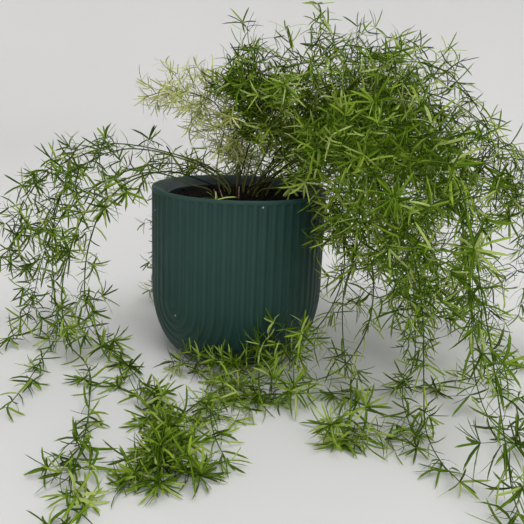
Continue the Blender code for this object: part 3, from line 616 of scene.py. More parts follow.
# %% Soil, its form
SOIL_GAP = 0.4 * MM
SOIL_EDGE_RADIUS = INNER_RADIUS - SOIL_GAP
SOIL_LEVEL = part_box("soil")[1].z
SOIL_EDGE = SOIL_LEVEL - 1.5 * MM
SOIL_MIDDLE = SOIL_LEVEL - 0.4 * MM
SOIL_ROWS = 34
SOIL_COLUMNS = 150
ROOT_BALL_ROWS = 5
# The noise adds up LUMP_OCTAVES layers, each finer than the last one and weaker.
LUMP_HEIGHT = 1.3 * MM
LUMPS_PER_METRE = 90
LUMP_OCTAVES = 5
OCTAVE_WEAKENING = 1.0
OCTAVE_FINENESS = 2.0


def mound_height(share):
    """Height of the smooth soil at a share of the way to its edge."""
    return SOIL_MIDDLE + (SOIL_EDGE - SOIL_MIDDLE) * share ** 2


def soil_height(x, y):
    """Height of the roughened soil at a place."""
    lumps = noise.fractal(Vector((x, y, 0)) * LUMPS_PER_METRE, OCTAVE_WEAKENING, OCTAVE_FINENESS,
                          LUMP_OCTAVES)
    return mound_height(math.hypot(x, y) / SOIL_EDGE_RADIUS) + lumps * LUMP_HEIGHT


top = []
for row in range(SOIL_ROWS + 1):
    share = row / SOIL_ROWS
    top.append((SOIL_EDGE_RADIUS * share, mound_height(share)))
below = quarter_curve(SOIL_EDGE_RADIUS, INNER_FLOOR_RADIUS, INNER_FLOOR + INNER_ROUNDING,
                      INNER_FLOOR + SOIL_GAP, 0, ROOT_BALL_ROWS)
below = [(radius - SOIL_GAP, height + SOIL_GAP) for radius, height in below]
soil = spun("peat_soil", top + below + [(0, below[-1][1])], SOIL_COLUMNS)
for vertex in soil.data.vertices:
    if vertex.co.z > SOIL_EDGE - MM:
        vertex.co.z = soil_height(vertex.co.x, vertex.co.y)
only_select(soil)
bpy.ops.object.shade_smooth()
print("soil:", len(soil.data.polygons), "faces")

# %% [markdown]
# ### One crumb
#
# Loose crumbs of peat and bark break the soil's surface. A crumb is a small faceted lump, and what
# repeats is modelled once: an ico sphere, made longer than wide and wider than thick.

# %% One crumb
CRUMB_SHAPE = (1, 0.75, 0.55)


def triangles_of(mesh):
    """Corner numbers of a mesh of triangles, one row each."""
    corners = np.empty(len(mesh.polygons) * 3, int)
    mesh.polygons.foreach_get("vertices", corners)
    return corners.reshape(-1, 3)


crumb = new_from(bpy.ops.mesh.primitive_ico_sphere_add, "crumb", subdivisions=1, radius=1)
start_edit(crumb)
bpy.ops.transform.resize(value=CRUMB_SHAPE)
end_edit()
crumb_places = vertex_places(crumb.data)
crumb_triangles = triangles_of(crumb.data)
bpy.data.objects.remove(crumb)
print("crumb:", len(crumb_triangles), "faces")

# %% [markdown]
# ### Crumbs of peat and bark
#
# With numpy, the one crumb's vertices are multiplied by every copy's own turn and size at once,
# and all copies become a single mesh. That is the same as placing copies by hand, and far quicker
# for hundreds of them. The random draws start from a fixed seed, so the soil is the same each
# time. Small crumbs are more common than large ones, and each one carries a number that tells the
# finish how much bark it is.

# %% Crumbs
# A crumb's own length, width and thickness are its size times a random stretch.
CRUMBS = 620
CRUMB_SIZES = (0.5 * MM, 1.9 * MM)
CRUMB_SIZE_POWER = 2.5
CRUMB_STRETCHES = ((0.7, 1.8), (0.6, 1), (0.5, 1))
CRUMB_MARGIN = 3 * MM
CRUMB_LIFT = 0.2
CRUMB_SEED = 4


def copies_mesh(name, places, triangles):
    """One mesh from many copies. places has a row of vertices for each copy."""
    copies, corners = places.shape[:2]
    faces = triangles[None] + (np.arange(copies) * corners)[:, None, None]
    mesh = bpy.data.meshes.new(name)
    mesh.from_pydata(places.reshape(-1, 3), [], faces.reshape(-1, 3))
    mesh.update()
    return mesh


def random_vector(rng):
    """A random vector, which may point any way."""
    return Vector([rng.gauss(0, 1) for _ in range(3)])


def random_turns(rng, count):
    """Random rotation matrices."""
    turns = []
    for _ in range(count):
        axis = random_vector(rng)
        turns.append(np.array(Matrix.Rotation(rng.uniform(0, 2 * math.pi), 3, axis)))
    return np.array(turns)


rng = random.Random(CRUMB_SEED)
spots = []
sizes = []
for _ in range(CRUMBS):
    angle = rng.uniform(0, 2 * math.pi)
    reach = (SOIL_EDGE_RADIUS - CRUMB_MARGIN) * math.sqrt(rng.random())
    x = reach * math.sin(angle)
    y = reach * math.cos(angle)
    size = CRUMB_SIZES[0] + (CRUMB_SIZES[1] - CRUMB_SIZES[0]) * rng.random() ** CRUMB_SIZE_POWER
    spots.append((x, y, soil_height(x, y) + size * CRUMB_LIFT))
    sizes.append([size * rng.uniform(*stretch) for stretch in CRUMB_STRETCHES])
lumps = crumb_places[None] * np.array(sizes)[:, None, :]
lumps = np.einsum("cij,cvj->cvi", random_turns(rng, CRUMBS), lumps) + np.array(spots)[:, None, :]
crumbs = add_object("peat_crumbs", copies_mesh("peat_crumbs", lumps, crumb_triangles))
bark = [rng.random() for _ in range(CRUMBS)]
keep_numbers(crumbs.data, "shade", np.repeat(bark, len(crumb_places)))
print("crumbs:", CRUMBS, "copies,", len(crumbs.data.polygons), "faces")

# %% [markdown]
# ### Soil, its finish
#
# Wet peat is nearly black. A hard mottle brings in a little reddish brown, and a strong grain
# keeps it from shining. A crumb is peat unless its number is among the highest, and then it is
# bark.

# %% Soil, its finish
PEAT_BROWNS = ((0.0015, 0.0013, 0.0012), (0.005, 0.0035, 0.003))
DARK_CRUMB = (0.003, 0.002, 0.002)
BARK_CRUMB = (0.03, 0.014, 0.01)
DAMP_PATCH = (0.005, 0.004, 0.004)

peat = Finish("dark_peat", roughness=0.95, specular=0.08)
peat.colour(peat.mix(peat.use(MOTTLE, Scale=140, Contrast=5), *PEAT_BROWNS))
peat.bump(peat.use(GRAIN, Scale=900), 0.5 * MM, 0.8)
soil.data.materials.append(peat.material)
bark_bits = Finish("bark_bits", roughness=0.9, specular=0.12)
is_bark = bark_bits.ranged(bark_bits.attribute("shade"), 0.8, 1)
bits = bark_bits.mix(is_bark, DARK_CRUMB, BARK_CRUMB)
damp = bark_bits.use(MOTTLE, Scale=500, Contrast=3)
bark_bits.colour(bark_bits.mix(damp, bits, DAMP_PATCH))
bark_bits.bump(bark_bits.use(GRAIN, Scale=1500), 0.2 * MM, 0.6)
crumbs.data.materials.append(bark_bits.material)
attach(soil, "root")
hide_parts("soil")
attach(crumbs, "root")
print("soil finish:", peat.material.name, "and", bark_bits.material.name)

# %% [markdown]
# ## Dry stubs
#
# Three old stems were cut back and have dried to a pinkish brown. Each starts as a small filled
# circle down in the soil. It is extruded straight up to just above the surface, and then in short
# steps that are a little crooked and swell or shrink. A dry stub is hollow at its end, so its top
# face is inset and pushed down.

# %% Dry stubs, their form
# A stub's name, its foot in millimetres, how far it leans for each unit up, and its length.
STUBS = (
    ("dry_stub_1", (-17, -26), (-0.5, 0.1), 8),
    ("dry_stub_2", (-13, -23), (-0.42, 0.15), 7),
    ("dry_stub_3", (0, -18), (0.05, 0.1), 9),
)
STUB_SIDES = 9
STUB_RADIUS = 0.65 * MM
STUB_SINK = 13 * MM
STUB_JOINTS = 7
STUB_CROOK = 0.12
STUB_SWELLS = (0.88, 1.06)
STUB_WALL = 0.18 * MM
STUB_HOLLOW = 0.5 * MM
STUB_SMOOTH_ANGLE = math.radians(50)


def build_stub(name, foot, lean, length, rng):
    """One dried stem: bare, slightly crooked, with a shrunken hollow end."""
    stub = new_from(bpy.ops.mesh.primitive_circle_add, name, vertices=STUB_SIDES,
                    radius=STUB_RADIUS, fill_type="NGON",
                    location=(foot[0] * MM, foot[1] * MM, SOIL_LEVEL - STUB_SINK))
    start_edit(stub, "FACE")
    extrude(0, 0, STUB_SINK + MM)
    tilt = Vector((lean[0], lean[1], 1)).normalized() * length * MM / STUB_JOINTS
    place = Vector((foot[0] * MM, foot[1] * MM, SOIL_LEVEL + MM))
    for _ in range(STUB_JOINTS):
        crook = [rng.uniform(-STUB_CROOK, STUB_CROOK) for _ in range(2)]
        step = tilt + Vector((*crook, 0)) * MM
        extrude(*step)
        place += step
        swell = rng.uniform(*STUB_SWELLS)
        bpy.ops.transform.resize(value=(swell, swell, 1), center_override=place)
    bpy.ops.mesh.inset(thickness=STUB_WALL, depth=0)
    extrude(0, 0, -STUB_HOLLOW)
    bpy.ops.mesh.select_all(action="SELECT")
    bpy.ops.mesh.normals_make_consistent(inside=False)
    end_edit()
    bpy.ops.object.transform_apply(location=True, rotation=True, scale=True)
    bpy.ops.object.shade_smooth_by_angle(angle=STUB_SMOOTH_ANGLE)
    return stub


print("stubs to build:", len(STUBS))

# %% [markdown]
# ### Dry stubs, their finish
#
# A dried stem is dull and patchy. A fine hard mottle blends a dark and a light pinkish brown, and
# a fine grain stands for the wrinkles that are too small to model.

# %% Dry stubs, built and finished
STRAW_BROWNS = ((0.08, 0.045, 0.035), (0.3, 0.19, 0.16))
STUB_SEED = 9

straw = Finish("dry_stem", roughness=0.8, specular=0.3)
straw.colour(straw.mix(straw.use(MOTTLE, Scale=300, Contrast=3), *STRAW_BROWNS))
straw.bump(straw.use(GRAIN, Scale=1800), 0.15 * MM, 0.6)
rng = random.Random(STUB_SEED)
for name, foot, lean, length in STUBS:
    stub = build_stub(name.replace("dry", "dried"), foot, lean, length, rng)
    stub.data.materials.append(straw.material)
    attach(stub, "root")
    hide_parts(name)
    print(stub.name, len(stub.data.polygons), "faces")

# %% [markdown]
# ## One needle
#
# The fern's green blades aren't leaves but flattened twigs, one to two centimetres long and about
# one and a half millimetres wide. One is modelled here at unit length: a four-cornered circle,
# flattened so that its corners make two sharp edges and a soft keel on each face, and extruded in
# four steps that swell, run on evenly and narrow again, before the last face is merged to a point.
# Everything green is made of copies of it, so it has only a few dozen faces.

# %% One needle
# Height and width at the end of each step.
NEEDLE_STEPS = ((0.18, 0.95), (0.5, 1.0), (0.82, 0.92), (1.0, 0.38))
NEEDLE_FOOT = 0.4
NEEDLE_FLATNESS = 0.32

needle = new_from(bpy.ops.mesh.primitive_circle_add, "needle", vertices=4, radius=0.5,
                  fill_type="NGON")
start_edit(needle, "FACE")
bpy.ops.transform.resize(value=(NEEDLE_FOOT, NEEDLE_FOOT * NEEDLE_FLATNESS, 1))
height_now = 0.0
width_now = NEEDLE_FOOT
for height, width in NEEDLE_STEPS:
    extrude(0, 0, height - height_now)
    narrow = width / width_now
    bpy.ops.transform.resize(value=(narrow, narrow, 1), center_override=(0, 0, height))
    height_now = height
    width_now = width
bpy.ops.mesh.merge(type="COLLAPSE")
bpy.ops.mesh.select_all(action="SELECT")
bpy.ops.mesh.normals_make_consistent(inside=False)
bpy.ops.mesh.quads_convert_to_tris()
end_edit()
needle_places = vertex_places(needle.data)
needle_triangles = triangles_of(needle.data)
bpy.data.objects.remove(needle)
print("needle:", len(needle_triangles), "faces")

# %% [markdown]
# ## Where the stems run
#
# Each leafy stem rises bare from the crown, arches over the rim and hangs or trails. Its route was
# laid against the photograph, and it is the route of the stem's solid, which the finished stem
# replaces. A row gives the stem's name, its kind of leaf, the share of its length that stays bare,
# the length of its longest twig, and its route: first the x and y of its foot in the soil, then
# points as x, y and z, all in millimetres.

# %% Routes
STEMS = (
    ("stem_left_low", "green", 0.18, 27, (
        (-24, 4), (-43, 0, 146), (-58, -5, 153), (-75, -15, 157), (-93, -22, 152), (-115, -27, 139),
        (-128, -32, 120), (-136, -37, 98), (-143, -42, 70), (-143, -48, 42), (-138, -54, 18),
        (-120, -70, 8), (-108, -96, 6), (-101, -126, 6), (-94, -158, 6), (-88, -195, 6),
        (-85, -228, 6), (-79, -256, 6), (-73, -284, 6))),
    ("stem_left_table", "green", 0.2, 26, (
        (-15, -4), (-38, -14, 154), (-62, -30, 160), (-86, -40, 153), (-106, -46, 134),
        (-118, -46, 106), (-126, -38, 72), (-127, -28, 36), (-114, -32, 11), (-94, -54, 6),
        (-76, -86, 6), (-54, -124, 6), (-37, -160, 6), (-31, -196, 6), (-36, -234, 6))),
    ("stem_left_mid", "green", 0.22, 32, (
        (-9, 6), (-30, 10, 155), (-50, 11, 161), (-70, 10, 162), (-92, 6, 157), (-115, 0, 147),
        (-142, -3, 126), (-162, -7, 100), (-172, -12, 70), (-178, -20, 40), (-190, -28, 14),
        (-206, -38, 7))),
    ("stem_left_high", "green", 0.24, 32, (
        (-8, 13), (-26, 22, 158), (-46, 27, 165), (-69, 31, 170), (-92, 33, 174), (-118, 33, 175),
        (-146, 31, 169), (-171, 26, 153), (-190, 20, 128), (-202, 14, 98), (-206, 10, 66))),
    ("stem_left_far", "green", 0.26, 30, (
        (-14, 21), (-34, 37, 156), (-58, 48, 163), (-84, 55, 168), (-112, 58, 168),
        (-140, 55, 158), (-163, 48, 136), (-174, 42, 104), (-176, 34, 62), (-170, 20, 26),
        (-161, -6, 9), (-157, -60, 6), (-153, -112, 6), (-153, -150, 6))),
    ("stem_pale_left", "pale", 0.26, 32, (
        (-18, 12), (-21, 14, 160), (-18, 19, 180), (-16, 22, 200), (-24, 24, 214), (-44, 24, 222),
        (-66, 21, 223), (-84, 18, 218))),
    ("stem_pale_centre", "pale", 0.3, 28, (
        (-3, 16), (-3, 25, 160), (0, 32, 182), (8, 36, 202), (20, 38, 216), (36, 38, 222))),
    ("stem_plume", "green", 0.32, 26, (
        (-3, 9), (2, 12, 162), (9, 14, 188), (16, 14, 210), (15, 12, 230), (4, 10, 241),
        (-10, 8, 240), (-24, 6, 229))),
    ("stem_spike", "green", 0.4, 24, (
        (3, 13), (8, 20, 165), (14, 25, 195), (14, 25, 225), (8, 21, 250), (3, 16, 268),
        (2, 13, 278))),
    ("stem_top_near", "green", 0.18, 36, (
        (7, 8), (17, 11, 165), (32, 12, 200), (46, 11, 232), (64, 8, 256), (86, 4, 266),
        (108, 0, 260), (126, -5, 242), (138, -10, 216))),
    ("stem_top_far", "green", 0.14, 38, (
        (12, 11), (34, 12, 172), (62, 12, 206), (92, 10, 234), (122, 6, 252), (152, 2, 254),
        (178, -2, 240), (198, -6, 216), (213, -10, 186), (222, -14, 156))),
    ("stem_right_back", "green", 0.14, 36, (
        (12, 17), (38, 32, 176), (72, 44, 210), (112, 52, 230), (152, 52, 226), (184, 48, 200),
        (204, 44, 164), (214, 40, 122), (219, 35, 80), (223, 26, 38), (228, 13, 10),
        (242, -10, 7))),
    ("stem_right_high", "green", 0.14, 38, (
        (19, 15), (50, 28, 186), (88, 33, 216), (130, 32, 231), (170, 26, 228), (205, 20, 210),
        (234, 13, 182), (254, 6, 150), (266, -1, 116), (272, -8, 82))),
    ("stem_right_mid", "green", 0.13, 38, (
        (21, 9), (54, 17, 176), (92, 21, 204), (134, 20, 218), (176, 14, 211), (212, 8, 190),
        (236, 2, 158), (248, -6, 120), (252, -14, 82), (248, -20, 46))),
    ("stem_front_long", "green", 0.09, 34, (
        (23, 3), (60, 4, 172), (106, 3, 190), (154, 0, 190), (200, -6, 172), (236, -14, 142),
        (262, -20, 104), (276, -24, 62), (280, -28, 26), (266, -34, 9), (236, -48, 6),
        (203, -66, 6), (172, -80, 6), (146, -90, 6), (112, -99, 6), (76, -106, 6),
        (46, -112, 6), (22, -116, 6))),
    ("stem_right_near", "green", 0.14, 36, (
        (14, 4), (48, -4, 170), (86, -11, 190), (124, -19, 192), (158, -28, 174),
        (178, -38, 142), (188, -47, 104), (194, -56, 64), (202, -66, 28), (212, -80, 9),
        (224, -104, 6), (232, -128, 6))),
    ("stem_right_inner", "green", 0.15, 28, (
        (12, -1), (36, -9, 164), (64, -15, 178), (94, -21, 177), (120, -26, 158),
        (137, -31, 126), (147, -36, 88), (152, -44, 50), (152, -57, 20), (145, -76, 10),
        (136, -96, 14), (131, -118, 9), (130, -150, 6), (128, -184, 6))),
    ("stem_drop_mid", "green", 0.15, 26, (
        (8, -4), (28, -24, 156), (54, -36, 164), (80, -43, 157), (94, -48, 134), (97, -50, 104),
        (90, -54, 74), (90, -58, 44), (93, -68, 18), (94, -84, 11), (94, -104, 15),
        (91, -126, 9), (88, -150, 6), (83, -178, 6))),
    ("stem_front_trail", "green", 0.15, 24, (
        (15, -8), (36, -34, 151), (60, -56, 151), (79, -67, 134), (86, -72, 106), (82, -77, 76),
        (68, -82, 50), (46, -81, 29), (24, -76, 17), (0, -72, 12), (-28, -70, 9),
        (-48, -62, 7))),
    ("stem_front_low", "green", 0.18, 24, (
        (5, -10), (26, -44, 158), (52, -66, 164), (80, -82, 152), (98, -92, 124),
        (106, -98, 88), (102, -102, 54), (84, -104, 24), (56, -100, 10), (28, -96, 7),
        (4, -98, 6), (-10, -118, 6), (-10, -148, 6), (-4, -182, 6), (6, -212, 6))),
    ("stem_right_front", "green", 0.16, 34, (
        (19, -2), (50, -22, 174), (84, -44, 196), (118, -64, 198), (148, -80, 178),
        (166, -94, 144), (174, -105, 104), (178, -114, 64), (182, -124, 28), (188, -140, 9),
        (196, -166, 6), (206, -194, 6))),
    ("stem_near_arch", "green", 0.2, 32, (
        (11, -13), (32, -48, 172), (58, -84, 190), (86, -114, 186), (108, -138, 160),
        (122, -154, 124), (129, -163, 86), (132, -170, 46), (135, -180, 14), (140, -200, 6),
        (146, -222, 6))),
    ("stem_near_right", "green", 0.22, 30, (
        (20, -10), (54, -40, 182), (90, -80, 206), (121, -116, 204), (143, -147, 180),
        (152, -172, 146), (156, -190, 114), (159, -206, 90), (161, -222, 66), (164, -238, 40),
        (167, -256, 14), (170, -278, 7))),
    ("stem_back_left", "green", 0.22, 30, (
        (-6, 26), (-22, 46, 150), (-42, 70, 154), (-58, 90, 141), (-67, 102, 112),
        (-72, 109, 76), (-75, 114, 38), (-79, 122, 9), (-86, 146, 6))),
    ("stem_back_mid", "green", 0.22, 34, (
        (2, 26), (2, 52, 158), (0, 82, 166), (-4, 108, 152), (-8, 124, 118), (-10, 132, 78),
        (-11, 138, 36), (-12, 148, 8), (-14, 172, 6))),
    ("stem_back_right", "green", 0.2, 32, (
        (10, 26), (24, 56, 174), (38, 88, 192), (50, 114, 180), (58, 130, 148), (63, 138, 106),
        (66, 143, 62), (68, 150, 22), (71, 166, 7), (76, 190, 6))),
    ("stem_back_high", "green", 0.17, 36, (
        (19, 23), (46, 48, 192), (82, 70, 224), (120, 84, 228), (154, 94, 204), (176, 99, 166),
        (186, 101, 122), (190, 101, 76), (194, 104, 32), (200, 116, 7))),
)
print("stems:", len(STEMS))

# %% [markdown]
# ### A smooth curve through the points
#
# By hand, the points would be a curve object's control points with automatic handles. Here such a
# curve is worked out, because the twigs have to know where the stem is and which way it runs. The
# direction at each point is taken from both neighbours, and the curve is then divided again into
# even steps.

# %% Smooth routes
CURVE_STEP = 0.5 * MM
ROUTE_STEP = 3 * MM
STEM_SINK = 13.7 * MM
LEAN_AT_SOIL = 0.01


def curve_through(points):
    """Points of a smooth curve through the given ones, ROUTE_STEP apart."""
    runs = [(after - before).normalized() for before, after in zip(points, points[1:])]
    spans = [(after - before).length for before, after in zip(points, points[1:])]
    slopes = [runs[0]]
    for before, after, near, far in zip(runs, runs[1:], spans, spans[1:]):
        slopes.append((before * far + after * near) / (near + far))
    slopes.append(runs[-1])
    dense = []
    for start, end, leave, arrive, span in zip(points, points[1:], slopes, slopes[1:], spans):
        steps = max(2, int(span / CURVE_STEP))
        for step in range(steps):
            done = step / steps
            left = 1 - done
            spot = start * left * left * (1 + 2 * done) + end * done * done * (3 - 2 * done)
            dense.append(spot + (leave * left - arrive * done) * done * left * span)
    dense.append(points[-1])
    dense = np.array(dense)
    travelled = np.concatenate(([0], np.cumsum(np.linalg.norm(np.diff(dense, axis=0), axis=1))))
    count = max(2, round(travelled[-1] / ROUTE_STEP))
    even = np.linspace(0, travelled[-1], count + 1)
    spots = [np.interp(even, travelled, dense[:, axis]) for axis in range(3)]
    return [Vector(spot) for spot in zip(*spots)]


def stem_route(points):
    """A stem's centre line: upright out of the soil, then through its own points."""
    foot = Vector((points[0][0], points[0][1], 0)) * MM
    rest = [Vector(point) * MM for point in points[1:]]
    lean = (rest[0] - foot) * LEAN_AT_SOIL
    low = foot + Vector((0, 0, SOIL_LEVEL - STEM_SINK))
    high = Vector((foot.x + lean.x, foot.y + lean.y, SOIL_LEVEL + MM / 2))
    return curve_through([low, high, *rest])


routes = {name: stem_route(points) for name, _, _, _, points in STEMS}
lengths = [round((len(route) - 1) * ROUTE_STEP / MM) for route in routes.values()]
print("stems are", min(lengths), "to", max(lengths), "mm long")

# %% [markdown]
# ## Keeping clear
#
# Twigs and needles must not grow into the pot, the soil or the floor, and they stay inside the box
# of the solid model. So every new point is pushed to the nearest free place first. On the floor
# that also lays the lower needles flat, as the weight of the stem does on the real plant.

# %% Keeping clear
BOX_ROOM = 1 * MM
box_low = solid_box[0] - Vector((BOX_ROOM, BOX_ROOM, 0))
box_high = solid_box[1] + Vector((BOX_ROOM, BOX_ROOM, BOX_ROOM))


def wall_radius(height):
    """Outer radius of the pot at a height."""
    if height >= ROUNDING_HEIGHT:
        return POT_RADIUS
    fall = 1 - max(height, 0) / ROUNDING_HEIGHT
    return BASE_RADIUS + (POT_RADIUS - BASE_RADIUS) * math.sqrt(1 - fall * fall)


def free_spot(spot, room):
    """The nearest place that is clear of the pot, the soil and the floor by some room."""
    x, y, z = spot
    radius = math.hypot(x, y)
    if z < POT_HEIGHT + room and radius < POT_RADIUS + room:
        wall = wall_radius(z) + room
        # Inside the mouth a spot is lifted on to the soil. In the wall it goes out sideways, or
        # over the rim where that is nearer.
        if radius < INNER_RADIUS:
            z = max(z, SOIL_LEVEL + room)
        elif radius > wall - (POT_HEIGHT + room - z) and radius < wall:
            x *= wall / radius
            y *= wall / radius
        elif radius < wall:
            z = POT_HEIGHT + room
    x = min(max(x, box_low.x + room), box_high.x - room)
    y = min(max(y, box_low.y + room), box_high.y - room)
    z = min(max(z, room), box_high.z - room)
    return Vector((x, y, z))


in_the_wall = Vector((70, 0, 100)) * MM
print("a spot in the wall moves to", [round(c / MM) for c in free_spot(in_the_wall, MM)], "mm")

# %% [markdown]
# ## Habits
#
# The foliage isn't the same all over the plant. High on the right it is a tangle of fine needles,
# the tails hang open and airy, the stems on the floor end in stars of broad needles, and two old
# stems have gone pale and bristly. Each such habit is a row of numbers: how far apart the whorls on
# a twig are, how many needles a whorl and a full star at a twig's end have, which share of the
# twigs ends in a full star, how long and wide a needle is, how fresh it is, and how much the twigs
# on a stem's upper side stay shorter than the others. Gaps, lengths and widths are millimetres.

# %% Habits
HABIT_FIELDS = ("whorl_gap", "fewest", "most", "star", "rosettes", "length", "width", "tone",
                "flat_top")
HABIT_ROWS = {
    "tangle": (5.3, 2, 4, 6, 1.0, 13.5, 1.3, 0.54, 0.3),
    "crest": (5.3, 2, 4, 6, 1.0, 13.5, 1.3, 0.6, 0.0),
    "tail": (5.7, 2, 4, 7, 0.8, 14, 1.35, 0.5, 0.7),
    "inner": (5.5, 2, 4, 10, 0.5, 14, 1.4, 0.46, 0.1),
    "mane": (6.3, 2, 4, 8, 0.7, 15, 1.4, 0.46, 0.2),
    "drop": (7.3, 2, 3, 16, 0.5, 16, 1.5, 0.58, 0.1),
    "runner": (7.3, 2, 4, 16, 0.5, 16, 1.5, 0.6, 0.3),
    "airy": (6.6, 2, 4, 9, 0.8, 14.5, 1.6, 0.34, 0.75),
    "starry": (6.4, 2, 4, 22, 0.35, 15, 1.7, 0.46, 0.6),
    "trailing": (6.3, 2, 4, 8, 0.8, 14, 1.4, 0.62, 0.0),
    "drooping": (8.0, 2, 4, 10, 0.8, 18, 1.75, 0.34, 0.3),
    "plume": (4.6, 3, 4, 7, 1.0, 13.5, 1.4, 0.4, 0.1),
    "wisp": (12.0, 2, 3, 4, 1.0, 14, 1.3, 0.4, 0.0),
    "bristly": (4.2, 3, 4, 5, 1.0, 11, 1.05, 0.72, 0.0),
}
HABITS = {name: dict(zip(HABIT_FIELDS, row)) for name, row in HABIT_ROWS.items()}
USUAL_HABIT = "tangle"
STEM_HABITS = {
    "stem_left_low": "starry", "stem_left_table": "starry", "stem_left_mid": "airy",
    "stem_left_high": "airy", "stem_left_far": "airy", "stem_pale_left": "bristly",
    "stem_pale_centre": "bristly", "stem_plume": "plume", "stem_spike": "wisp",
    "stem_top_near": "crest", "stem_front_long": "runner", "stem_right_mid": "tail",
    "stem_right_back": "tail", "stem_right_high": "tail", "stem_right_near": "tail",
    "stem_right_inner": "inner", "stem_right_front": "drooping", "stem_near_arch": "mane",
    "stem_near_right": "drooping", "stem_drop_mid": "drop", "stem_front_trail": "trailing",
    "stem_front_low": "trailing",
}
print("habits:", len(HABITS))

# %% [markdown]
# ## Where the twigs stand
#
# A stem is dense in one place and nearly bare in another. So each stem has a plan, read off the
# photograph: at a share of its leafy length, how far apart the twigs stand in millimetres, and how
# long they are beside their usual length. There is an entry wherever the foliage thickens or opens,
# and between two entries the numbers change evenly.

